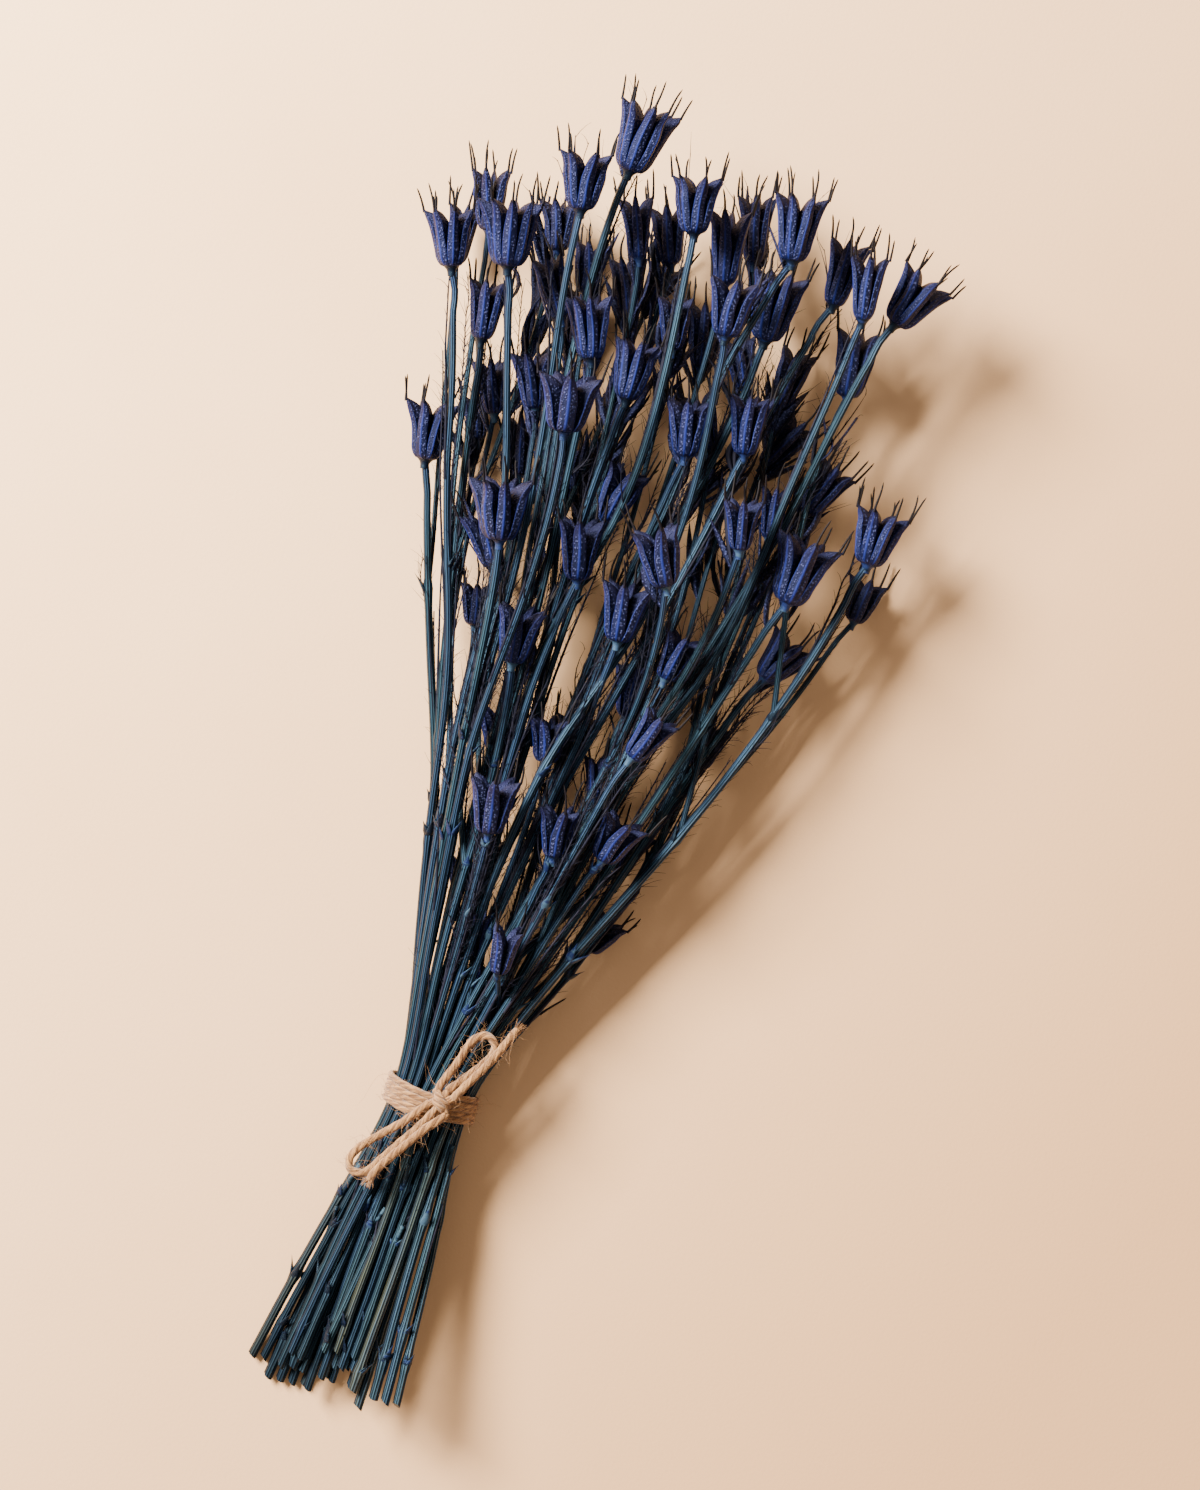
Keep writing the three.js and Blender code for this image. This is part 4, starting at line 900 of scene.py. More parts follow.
def add_beaks(pile, root, along, out, aside, reach, rng):
    """The long style left on a follicle: a stiff dark thread, now and then split in two."""
    shares = np.linspace(0, 1, 9)
    for strand in range(2 if rng.uniform() < SPLIT_BEAKS else 1):
        length = reach * (1.1 if strand == 0 else rng.uniform(0.5, 0.9))
        bend_out = rng.uniform(-0.12, 0.14) + 0.1 * strand
        bend_side = rng.uniform(-0.2, 0.2)
        curl = rng.uniform(-0.07, 0.07) * np.sin(shares * rng.uniform(2.5, 5))
        spread = BEAK_SPLAY * shares + bend_out * shares**2
        line = (
            root + along * ((shares - BEAK_SUNK) * length)[:, None]
            + out * (length * spread)[:, None]
            + aside * (length * (bend_side * shares**1.6 + curl * shares))[:, None]
        )
        radii = BEAK_RADIUS * (1 - BEAK_TAPER * shares) * (0.75 if strand else 1)
        radii[-1] = BEAK_TIP_RADIUS
        grid = tube(line, radii, BEAK_ANGLES)
        pile.add(grid, BEAK, tone=rng.uniform(), place=shares[:, None])


def add_receptacle(pile, shoot, place):
    """The low collar where the stem widens under the pod."""
    base, along = place[:2]
    rises, widths, near_pod = COLLAR
    centres = base + rises[:, None] * along
    grid = tube(centres, shoot.stem_radius * widths, ROUND, np.tile(along, (len(rises), 1)))
    grain = grid + shoot.order * 3.1
    pile.add(grid, STEM, grain, tone=0.5, place=0.6, deep=near_pod[:, None])


# Dried leaves: thread leaves that stand off the stems, repeated from the part's source, finer
# combs of threads that lie along the stems, and shrivelled leaves among the pods
LEAF_SEED = 9000
LEAF_TRIES = 5
LEAVES_A_STEM = 2
LEAF_ROOT_RADIUS = 0.42
LOWEST_LEAF = 45
LEAF_SPACING = 30
LEAF_REACH_OUT = 0.42
LEAF_REACH_ALONG = 0.7
LEAF_BEND = 0.15
BARE_BELOW_POD = 4
LEAF_RIB_RADIUS = 0.34
THREAD_RADIUS = 0.15
THREAD_ANGLES = circle(3)


def is_clear(points, own, shoots):
    """Whether a thread clears every disc but those of its own stem."""
    position = (points[:, 1] + FOOT_REACH) / STATION_STEP
    k = np.floor(position).astype(int)
    share = position - k
    for shoot in shoots:
        if shoot is own:
            continue
        here = (k >= shoot.first) & (k + 1 <= shoot.top)
        low, u = k[here], share[here]
        x, z = (lerp(line[low], line[low + 1], u) for line in (shoot.xs, shoot.zs))
        radius = np.maximum(shoot.radii[low], shoot.radii[low + 1])
        away = np.hypot(points[here, 0] - x, points[here, 2] - z)
        if (away <= radius + LEAF_ROOT_RADIUS + CLEARANCE).any():
            return False
    return True


def leaf_line(shoot, k, random):
    root = np.array([shoot.xs[k], STATIONS[k], shoot.zs[k]])
    around = random() * 2 * math.pi
    length = LEAF_LENGTH * (0.5 + 0.5 * random())
    share = np.array([0, 0.3, 0.65, 1])[:, None]
    out = np.array([math.cos(around), 0, math.sin(around)])
    reach = length * LEAF_REACH_OUT * np.sin(share * math.pi / 2)
    along = length * (LEAF_REACH_ALONG * share + LEAF_BEND * share**2)
    return root + out * reach + np.array([0, 1, 0]) * along


def grow_leaves(stems, shoots):
    placed, leaves = [], []
    for order, shoot in enumerate(stems):
        random = make_random(LEAF_SEED + order)
        own = []
        for leaf in range(LEAVES_A_STEM):
            low = station_at(LOWEST_LEAF + LEAF_SPACING * leaf)
            high = shoot.last_free - BARE_BELOW_POD
            for _ in range(LEAF_TRIES):
                if len(own) > leaf:
                    break
                k = math.floor(lerp(low, max(high, low), random()) + 0.5)
                line = leaf_line(shoot, min(k, high), random)
                points = catmull_rom(line, np.linspace(0, 1, 15))
                if (points[:, 2] <= LEAF_ROOT_RADIUS).any() or not is_clear(points, shoot, shoots):
                    continue
                spots = np.concatenate(placed) if placed else np.full((1, 3), 1e6)
                gaps = np.linalg.norm(points[:, None] - spots[None], axis=2)
                if gaps.min() > 2 * LEAF_ROOT_RADIUS + CLEARANCE:
                    placed.append(points)
                    own.append(points)
        leaves.append(own)
    return leaves


def add_fibres(pile, paths, radius, thinning, slot, rng):
    """Thin tubes along the paths, each with a tone of its own."""
    shares = np.linspace(0, 1, paths.shape[1])
    radii = radius * (1 - thinning * shares) * np.ones((len(paths), 1))
    grids = tube(paths, radii, THREAD_ANGLES, np.gradient(paths, axis=1))
    pile.add(grids, slot, tone=rng.uniform(size=(len(paths), 1, 1)))


def add_threads(pile, line, count, length, rng, spread=0.8):
    """Short curled threads along both sides of a leaf's rib."""
    place = np.linspace(0.06, 0.97, count) * (len(line) - 1)
    low = np.minimum(np.floor(place).astype(int), len(line) - 2)
    roots = line[low] + (place - low)[:, None] * (line[low + 1] - line[low])
    along = unit(line[low + 1] - line[low])
    aside = unit(np.cross(along, rng.normal(size=(count, 3)) + [0, 0, 0.8]))
    aside *= np.where(np.arange(count) % 2, 1, -1)[:, None]
    shares = np.linspace(0, 1, 4)[None, :, None]
    reach = (length * rng.uniform(0.5, 1.1, count))[:, None, None]
    angle = rng.uniform(0.25, 1.0, count)[:, None, None] * spread
    curl = rng.uniform(-0.5, 1.1, count)[:, None, None]
    lift = unit(np.cross(along, aside)) * rng.uniform(-0.5, 0.5, count)[:, None]
    paths = (
        roots[:, None] + along[:, None] * reach * (shares - 0.45 * curl * shares**2)
        + aside[:, None] * reach * angle * (shares + 0.2 * curl * shares**2)
        + lift[:, None] * reach * shares**2
    )
    paths[..., 2] = np.maximum(paths[..., 2], 2 * THREAD_RADIUS)
    add_fibres(pile, paths, THREAD_RADIUS, 0.75, LEAF, rng)


def add_leaf(pile, points, rng):
    radii = LEAF_RIB_RADIUS * (1 - 0.7 * np.linspace(0, 1, len(points)))
    pile.add(tube(points, radii, BEAK_ANGLES), LEAF, tone=rng.uniform())
    add_threads(pile, points, rng.integers(9, 15), 5.5, rng)


def bunch_edges(shoots):
    """The bunch's left and right edge at each station."""
    across = np.full((len(shoots), STATION_COUNT), np.nan)
    for shoot in shoots:
        span = slice(shoot.first, shoot.top + 1)
        across[shoot.order, span] = shoot.xs[span]
    reached = ~np.isnan(across).all(axis=0)
    return [
        np.interp(STATIONS, STATIONS[reached], limit(across[:, reached], axis=0))
        for limit in (np.nanmin, np.nanmax)
    ]


def edges_at(edges, ys):
    return (np.interp(ys, STATIONS, edge) for edge in edges)


# How far inside the bunch's edge a stem counts as outermost, and its share of the threads
OUTERMOST = 6
OUTERMOST_THREADS = 0.3
LOWEST_RIB = 0.6


def add_comb(pile, line, start, reach, edges, rng):
    """A long dried leaf that clings to its stem from a height on, with threads along its rib."""
    path = line[(line[:, 1] >= start) & (line[:, 1] <= start + reach)]
    if len(path) < 4:
        return
    shares = np.linspace(0, 1, len(path))
    around = rng.uniform(-3.9, 0.8) + rng.uniform(-1, 1) * shares
    away = 1.0 + rng.uniform(0.6, 6.0) * shares**1.3
    path[:, 0] += away * np.cos(around)
    path[:, 2] += away * np.sin(around)
    low, high = edges_at(edges, path[:, 1])
    path[:, 0] = np.clip(path[:, 0], low, high)
    path[:, 2] = np.maximum(path[:, 2], LOWEST_RIB)
    radii = rng.uniform(0.32, 0.62) * (1 - 0.65 * shares)
    pile.add(tube(path, radii, BEAK_ANGLES), LEAF, tone=rng.uniform())
    outermost = np.minimum(path[:, 0] - low, high - path[:, 0]).mean() < OUTERMOST
    threads_a_mm = rng.uniform(0.3, 0.8) * (OUTERMOST_THREADS if outermost else 1)
    add_threads(pile, path, int(reach * threads_a_mm), 5.8, rng, spread=0.75)


# Shrivelled leaves grow in tufts where a stem is deep in the bunch and well inside its edges
STRIP_WIDTHS = np.array([0.35, 0.8, 1, 1, 0.8, 0.5, 0.12])
QUARTERS = circle(4)
MOST_BLADES = 0.6
BLADES_BEGIN, BLADES_FULL = 130, 210
BLADE_THICKNESS = 0.4
THREAD_THICKNESS = 0.12
LOWEST_STRIP = 2.0
DEEP = 0.62
LOWEST_TUFT = 60
TUFT_SPACING = 15
TUFT_INSET = 13
STRIPS_AT_POD = 4
STRIPS_AT_DEEP_POD = (5, 10)
MORE_STRIPS_ALONG = (150, 230)


def strip_path(root, heading, ceiling, rng):
    """Centre line of a shrivelled leaf that leaves a stem at its root and curls aside."""
    shares = np.linspace(0, 1, len(STRIP_WIDTHS))
    around = rng.uniform(0, 2 * math.pi)
    out = np.array([math.cos(around), 0, math.sin(around)])
    aside = np.array([-math.sin(around), 0, math.cos(around)])
    away = shares * rng.uniform(2, 9) + rng.uniform(-3, 3) * shares**3
    curl = rng.uniform(-4, 4) * np.sin(shares * rng.uniform(1.5, 4))
    run = shares * rng.uniform(12, 28)
    path = root + heading * run[:, None] + out * away[:, None] + aside * curl[:, None]
    path[:, 2] = np.clip(path[:, 2] - rng.uniform(0, 8) * shares, LOWEST_STRIP, ceiling)
    return path


def add_strips(pile, root, heading, count, rng):
    """Shrivelled leaves from a stem: threads low in the bunch, some dark blades near its pods."""
    grown = float(smooth(root[1], BLADES_BEGIN, BLADES_FULL))
    for _ in range(count):
        path = strip_path(root, heading, max(root[2], 8), rng)
        blade = rng.uniform() < MOST_BLADES * grown
        least, most = (0.9, 1.6) if blade else (0.2, 0.36 + 0.7 * grown)
        wide = STRIP_WIDTHS * rng.uniform(least, most)
        thin = np.full(len(wide), BLADE_THICKNESS if blade else THREAD_THICKNESS)
        radii = np.stack([wide, thin, wide, thin], axis=1)
        grid = tube(path, radii, QUARTERS + rng.uniform(0, 3.1))
        if blade:
            place = np.linspace(0.2, 1, len(wide))[:, None]
            pile.add(grid, POD, tone=rng.uniform(0, 0.4), place=place, deep=0.3)
        else:
            pile.add(grid, LEAF, tone=rng.uniform())
        add_threads(pile, path, 3, 6.5, rng)


def add_tufts(pile, shoot, line, edges, rng):
    """Shrivelled leaves along the parts of a stem that lie deep inside the bunch."""
    low, high = edges_at(edges, line[:, 1])
    inside = (line[:, 0] > low + TUFT_INSET) & (line[:, 0] < high - TUFT_INSET)
    deep = inside & (raised_share(line) < DEEP) & (line[:, 1] > LOWEST_TUFT)
    if inside[-1]:
        count = STRIPS_AT_POD
        if deep[-1]:
            count = round(lerp(*STRIPS_AT_DEEP_POD, smooth(shoot.base_y, *MORE_STRIPS_ALONG)))
        add_strips(pile, line[-2 - rng.integers(0, 3)], shoot.axis(), count, rng)
    for k in np.flatnonzero(deep[:-2]):
        if rng.uniform() < STEM_STEP / TUFT_SPACING:
            count = 3 if line[k, 1] > BLADES_BEGIN else 2
            add_strips(pile, line[k], unit(line[k + 1] - line[k]), count, rng)


# Growths at the nodes, with their widths from root to tip in stem radii
BRACT_WIDTHS = np.array([0.6, 1.05, 1.05, 0.75, 0.45, 0.22, 0.03])
BRACT_FLATNESS = 0.45
BRACT_ANGLES = circle(8)
CUT_SHOOT_WIDTHS = np.array([0.75, 0.62, 0.6, 0.6, 0.6, 0.62, 0.05])
CUT_SHOOT_SHARE = 0.5
GROWTH_GAP = 0.2
GROWTH_GRAIN = 1.7


def beside_node(line, node, around):
    """The stem's point at a node, and directions along the stem and out of it."""
    k = min(max(int(np.argmin(np.abs(line[:, 1] - node))), 1), len(line) - 2)
    along, side, lift = frames_along(line[k + 1] - line[k - 1])
    return line[k], along, math.cos(around) * side + math.sin(around) * lift


def add_bract(pile, line, node, radius, rng):
    """A pointed scale at a node."""
    root, along, out = beside_node(line, node, rng.uniform(-0.7, 3.8))
    length = rng.uniform(3.6, 7)
    shares = np.linspace(0, 1, len(BRACT_WIDTHS))
    path = (
        root + out * (radius * 0.7 + length * 0.5 * shares**1.3)[:, None]
        + along * (length * (shares - 0.25))[:, None]
    )
    wide = radius * BRACT_WIDTHS[:, None]
    path[:, 2] = np.maximum(path[:, 2], wide[:, 0] + GROWTH_GAP)
    grid = (
        path[:, None] + (wide * np.cos(BRACT_ANGLES))[..., None] * np.cross(along, out)
        + (BRACT_FLATNESS * wide * np.sin(BRACT_ANGLES))[..., None] * out
    )
    pile.add(grid, STEM, grid * GROWTH_GRAIN, tone=0.3, place=0.2, deep=0.6)


def add_cut_shoot(pile, line, node, radius, rng):
    """The stump of a side shoot that was cut off above a node."""
    root, along, out = beside_node(line, node, rng.uniform(0.4, 2.7))
    length = rng.uniform(6, 20)
    shares = np.linspace(0, 1, len(CUT_SHOOT_WIDTHS))
    path = (
        root + out * (radius * 0.5 + length * 0.3 * shares**0.8)[:, None]
        + along * (length * shares)[:, None]
    )
    path[-1] = path[-2]
    path[:, 2] = np.maximum(path[:, 2], radius + GROWTH_GAP)
    headings = np.tile(path[1] - path[0], (len(path), 1))
    grid = tube(path, radius * CUT_SHOOT_WIDTHS, ROUND, headings)
    pile.add(grid, STEM, grid * GROWTH_GRAIN, tone=rng.uniform(), place=0.15)


# Twine of three plies that turn as they run. JUTE and DYED are the slots of the loose fibres
TWINE_RADIUS = TWINE_DIAMETER / 2
TWINE_ANGLES = circle(18)
PLY_PITCH = 13
PLIES = 3
PLY_DEPTH = 0.176
TURN_RADIUS = 1.05
WRAP_RADIUS = 1.15
BOW_DIRECTION = np.array([0.44, 0.9, 0.0])
JUTE, DYED = range(2)
TWINE_STEP = 0.45
LOWEST_TURN = 0.9
SNUG = 0.97
# The knot's wraps: half width and half height, advance a turn, and how far they lie askew
WRAP_WIDTH, WRAP_HEIGHT, WRAP_ADVANCE, WRAP_ASKEW = 2.25, 2.0, 1.9, 0.35
WRAP_DROP = np.array([0, 0, 0.25])


def run_along(line):
    """Length of a line from its start to each of its points."""
    return np.concatenate([[0], np.cumsum(np.linalg.norm(np.diff(line, axis=0), axis=1))])


def rope(pile, line, radius, rng, lowest=0.0):
    """Twisted twine with closed ends along a line, flattened at the lowest height."""
    run = run_along(line)[:, None]
    angles = TWINE_ANGLES - 2 * np.pi * run / PLY_PITCH
    lobes = np.abs(np.cos(PLIES * angles / 2)) ** 0.7
    wave = 1 + 0.035 * np.sin(run / 2.3 + rng.uniform(0, WHOLE_TURN))
    radii = radius * wave * (1 - PLY_DEPTH * (1 - lobes))
    radii[[0, -1]] *= 0.1
    grid = tube(line, radii, TWINE_ANGLES)
    grid[..., 2] = np.maximum(grid[..., 2], lowest)
    grain = [np.broadcast_to(run, radii.shape), np.cos(angles) * radius, np.sin(angles) * radius]
    grain = np.stack(grain, axis=-1) + rng.uniform(0, 40)
    # deep is high where the plies meet; the twine's material paints shade there
    pile.add(grid, JUTE, grain, tone=rng.uniform(), deep=1 - lobes)


def knot_centre():
    return np.array([*photo_to_bunch(KNOT_PIXEL, KNOT_HEIGHT), KNOT_HEIGHT])


def bow_height(y):
    away = np.abs(y)
    on_stems = BOW_CEILING + BOW_CEILING_RISE * away + TWINE_GAP + TWINE_RADIUS
    on_turns = BUNDLE_HEIGHT + BUNDLE_HALF_HEIGHT + 2 * TWINE_GAP + 3 * TWINE_RADIUS
    return lerp(on_turns, on_stems, smooth(away, BAND_REACH - 1, 2 * BAND_REACH))


def bow_line(name, route):
    """Evenly close points along a stretch of the bow, in millimetres from the tie."""
    centre = knot_centre()
    points = []
    for pixel in route:
        x, y = photo_to_bunch(pixel, KNOT_HEIGHT)
        points.append(np.array([x, y, bow_height(y) + pixel[2] * (TWINE_DIAMETER + TWINE_GAP)]))
    off_knot = [centre + unit(p - centre) * (KNOT_RADIUS + TWINE_GAP) for p in points]
    points.insert(0, off_knot[0])
    if "loop" in name:
        points.append(off_knot[-1])
    dense = catmull_rom(points, np.linspace(0, 1, 401))
    run = run_along(dense)
    even = np.linspace(0, run[-1], int(run[-1] / TWINE_STEP))
    return np.stack([np.interp(even, run, dense[:, axis]) for axis in range(3)], axis=1), run[-1]


def binding_line():
    """Five turns round the stems, pulled a little askew towards the knot as in the photograph."""
    turns = np.linspace(0, TWINE_TURNS, 900)
    angle = math.pi / 2 + 2 * math.pi * turns
    outwards = TWINE_GAP + TWINE_DIAMETER - TURN_RADIUS
    x = (BUNDLE_HALF_WIDTH + outwards) * np.cos(angle)
    z = np.maximum(BUNDLE_HEIGHT + (BUNDLE_HALF_HEIGHT + outwards) * np.sin(angle), LOWEST_TURN)
    dip = -1.2 - 0.06 * x + 0.006 * x * x
    askew = lerp(-0.07 * x, dip, smooth(np.sin(angle), -0.2, 0.5))
    wander = 0.16 * np.sin(angle * 1.37 + 1) + 0.1 * np.sin(angle * 2.9)
    return np.stack([x, (turns - TWINE_TURNS / 2) * TURN_PITCH * SNUG + askew + wander, z], axis=1)


def add_knot(pile, starts, rng):
    """Two tight wraps over the crossing, and the bow's stretches running in under them."""
    centre = knot_centre()
    bow = unit(BOW_DIRECTION)
    across = np.cross(bow, [0, 0, 1])
    turn = np.linspace(0, 4 * math.pi, 150)[:, None]
    wrap = (
        centre - WRAP_DROP + across * (WRAP_WIDTH * np.cos(turn) + WRAP_ASKEW * np.sin(turn / 2))
        + np.array([0, 0, WRAP_HEIGHT]) * np.sin(turn)
        + bow * WRAP_ADVANCE * (turn / (2 * math.pi) - 1)
    )
    rope(pile, wrap, WRAP_RADIUS, rng)
    for start in starts:
        out = start - centre
        route = [centre + [0, 0, -0.6] + out * 0.1, centre + out * 0.6 + WRAP_DROP,
                 start + out * 0.12]
        rope(pile, catmull_rom(route, np.linspace(0, 1, 14)), TWINE_RADIUS * SNUG, rng)


def add_hairs(pile, line, radius, count, reach, slot, rng, thick):
    """Loose fibres that stand off the twine."""
    k = rng.integers(1, len(line) - 1, count)
    along, side, lift = frames_along(line[k + 1] - line[k - 1])
    angle = rng.uniform(0, 2 * math.pi, count)[:, None]
    out = np.cos(angle) * side + np.sin(angle) * lift
    roots = line[k] + out * radius * 0.9
    heading = unit(out * rng.uniform(0.3, 1.0, (count, 1)) + along * rng.uniform(-1, 1, (count, 1)))
    curl = rng.normal(size=(count, 3)) * 0.65
    shares = np.linspace(0, 1, 8)[None, :, None]
    length = (reach * rng.uniform(0.35, 1.0, count) ** 1.5)[:, None, None]
    paths = roots[:, None] + length * (heading[:, None] * shares + curl[:, None] * shares**2)
    paths += np.cross(heading, curl)[:, None] * length * 0.45 * np.sin(shares * 5) * shares
    paths[..., 2] = np.maximum(paths[..., 2], 0.12)
    add_fibres(pile, paths, thick, 0.55, slot, rng)


def add_frayed_end(pile, line, rng, count=46):
    """Loose ends of fibres where a tail is cut."""
    end, heading = line[-1], unit(line[-1] - line[-6])
    aside = rng.normal(size=(count, 3))
    aside -= (aside @ heading)[:, None] * heading
    aside = (unit(aside) * rng.uniform(0.1, 1, (count, 1)))[:, None]
    shares = np.linspace(0, 1, 6)[None, :, None]
    length = rng.uniform(1.2, 3.6, count)[:, None, None]
    paths = (
        end - heading * 1.2 + aside * TWINE_RADIUS * 0.9
        + length * (heading * shares + aside * 0.55 * shares**1.5)
    )
    add_fibres(pile, paths, 0.13, 0.6, JUTE, rng)


def srgb(red, green, blue):
    """A screen colour from 0 to 255 as the linear colour that nodes take."""
    parts = np.array([red, green, blue]) / 255
    linear = np.where(parts <= 0.04045, parts / 12.92, ((parts + 0.055) / 1.055) ** 2.4)
    return (*linear.tolist(), 1.0)


class Graph:
    """A material and short calls that add nodes to it."""

    def __init__(self, name, **sockets):
        self.material = bpy.data.materials.new(name)
        self.material.use_nodes = True
        self.tree = self.material.node_tree
        self.shader = self.tree.nodes["Principled BSDF"]
        for socket, value in sockets.items():
            self.shader.inputs[socket.replace("_", " ")].default_value = value

    def feed(self, socket, value):
        if isinstance(value, bpy.types.NodeSocket):
            self.tree.links.new(value, socket)
        else:
            socket.default_value = value

    def node(self, kind, inputs=None, output=0, **settings):
        made = self.tree.nodes.new("ShaderNode" + kind)
        for name, value in settings.items():
            setattr(made, name, value)
        for place, value in (inputs or {}).items():
            self.feed(made.inputs[place], value)
        return made.outputs if output is None else made.outputs[output]

    def mark(self, name):
        return self.node("Attribute", output="Fac", attribute_name=name)

    def grain(self, scale):
        place = self.node("Attribute", output="Vector", attribute_name="grain")
        return self.node("VectorMath", {0: place, 1: scale}, operation="MULTIPLY")

    def math(self, operation, one, other=0.0, clamp=False):
        return self.node("Math", {0: one, 1: other}, operation=operation, use_clamp=clamp)

    def times(self, one, other):
        return self.math("MULTIPLY", one, other)

    def mix(self, share, one, other, blend="MIX"):
        inputs = {0: share, 6: one, 7: other}
        return self.node("Mix", inputs, output=2, data_type="RGBA", blend_type=blend)

    def span(self, value, low, high, to_low=0.0, to_high=1.0):
        return self.node("MapRange", {0: value, 1: low, 2: high, 3: to_low, 4: to_high})

    def coats(self, colour, *layers):
        """Paints over a colour: each layer has a value, where its share is none and where it is
        largest, the largest share, and a colour."""
        for value, none, full, share, paint in layers:
            colour = self.mix(self.span(value, none, full, 0.0, share), colour, srgb(*paint))
        return colour

    def ramp(self, share, stops):
        made = self.tree.nodes.new("ShaderNodeValToRGB")
        self.feed(made.inputs[0], share)
        elements = made.color_ramp.elements
        for place, paint in stops[2:]:
            elements.new(place)
        for element, (place, paint) in zip(sorted(elements, key=lambda e: e.position), stops):
            element.position = place
            element.color = srgb(*paint)
        return made.outputs[0]

    def noise(self, vector, scale, detail=3.0, roughness=0.6):
        inputs = {"Vector": vector, "Scale": scale, "Detail": detail, "Roughness": roughness}
        return self.node("TexNoise", inputs)

    def grown(self, stretch, *settings):
        """Noise that follows the grown surface, stretched along it."""
        return self.noise(self.grain(stretch), *settings)

    def lines_round(self, count):
        """Lines along a stem, from 1 on a rib to -1 in a groove, that wander a little."""
        parts = self.node("SeparateXYZ", {0: self.grain((1, 1, 1))}, output=None)
        turn = self.math("ARCTAN2", parts[2], parts[1])
        wander = self.times(self.grown((0.012, 0.6, 0.6), 1.0, 1.0), 3.0)
        return self.math("COSINE", self.math("ADD", self.times(turn, count), wander))

    def finish(self, colour, height, distance, strength, shade=(1.0, 1.0, 1.0), roughness=None):
        """Joins the shader, with a bump of the height, and with the colour times the shade."""
        inputs = {"Strength": strength, "Distance": distance, "Height": height}
        colour = self.mix(1.0, colour, (*shade, 1.0), "MULTIPLY")
        self.feed(self.shader.inputs["Base Color"], colour)
        self.feed(self.shader.inputs["Normal"], self.node("Bump", inputs))
        if roughness is not None:
            self.feed(self.shader.inputs["Roughness"], roughness)
        return self.material


# The shade of each material, by which its colours are multiplied to fit the strong light
STEM_SHADE = (0.38, 0.285, 0.33)
POD_SHADE = (0.235, 0.26, 0.265)
LEAF_SHADE = (0.34, 0.34, 0.34)
JUTE_SHADE = (0.485, 0.36, 0.235)
# Painted shade: plants low in the bunch are painted darker, from this share of its height down
PAINTED_SHADE_FROM, PAINTED_SHADE_FULL, MOST_PAINTED_SHADE = 0.7, 0.05, 0.78
LINES_ROUND = 9


def make_stem_material():
    graph = Graph("dyed_stem", Specular_IOR_Level=0.5, Specular_Tint=(0.28, 0.5, 0.66, 1.0))
    tone, place, ridge, near_pod, raised = (graph.mark(name) for name in Pile.MARKS)
    lines = graph.lines_round(LINES_ROUND)
    patches = graph.grown((0.04, 0.5, 0.5), 1.0, 2.0)
    streaks = graph.grown((0.05, 2.6, 2.6), 1.8, 4.0, 0.7)
    pale = graph.grown((0.2, 3.4, 3.4), 2.2, 3.0, 0.7)
    pale_foot = graph.times(graph.span(tone, 0.86, 0.94), graph.span(place, 0.26, 0.1))
    blue = graph.ramp(place, [
        (0.0, (9, 28, 36)), (0.16, (10, 38, 54)), (0.3, (24, 66, 114)), (0.5, (54, 100, 156)),
        (0.75, (72, 122, 166)), (1.0, (80, 128, 178))])
    green = graph.ramp(place, [
        (0.0, (34, 66, 48)), (0.22, (24, 84, 80)), (0.5, (52, 118, 124)), (1.0, (88, 146, 166))])
    colour = graph.coats(
        graph.mix(graph.span(tone, 0.45, 0.85, 0.0, 0.85), blue, green),
        (pale_foot, 0.0, 1.0, 1.0, (122, 134, 72)),
        (tone, 0.34, 0.0, 0.75, (14, 36, 80)),
        (patches, 0.42, 0.66, 0.62, (22, 50, 120)),
        (near_pod, 0.15, 1.0, 0.7, (62, 92, 190)),
        (streaks, 0.36, 0.66, 0.62, (16, 32, 52)),
        (pale, 0.6, 0.76, 0.22, (130, 170, 184)),
        # Painted highlight: pale lines along the ribs
        (lines, 0.5, 0.95, 0.62, (100, 160, 176)),
        # Painted shade: dark lines between the ribs and at the groove points
        (lines, 0.1, -0.5, 0.88, (6, 14, 24)),
        (ridge, 0.4, -1.0, 0.35, (10, 20, 38)),
        (near_pod, 0.0, -1.0, 1.0, (70, 80, 66)),
        # Painted shade: darker low in the bunch
        (raised, PAINTED_SHADE_FROM, PAINTED_SHADE_FULL, MOST_PAINTED_SHADE, (9, 18, 34)),
    )
    height = graph.math("ADD", graph.times(streaks, 0.5), graph.times(lines, 0.4))
    rough = graph.span(streaks, 0.3, 0.7, 0.32, 0.55)
    return graph.finish(colour, height, 0.00035, 0.9, STEM_SHADE, rough)


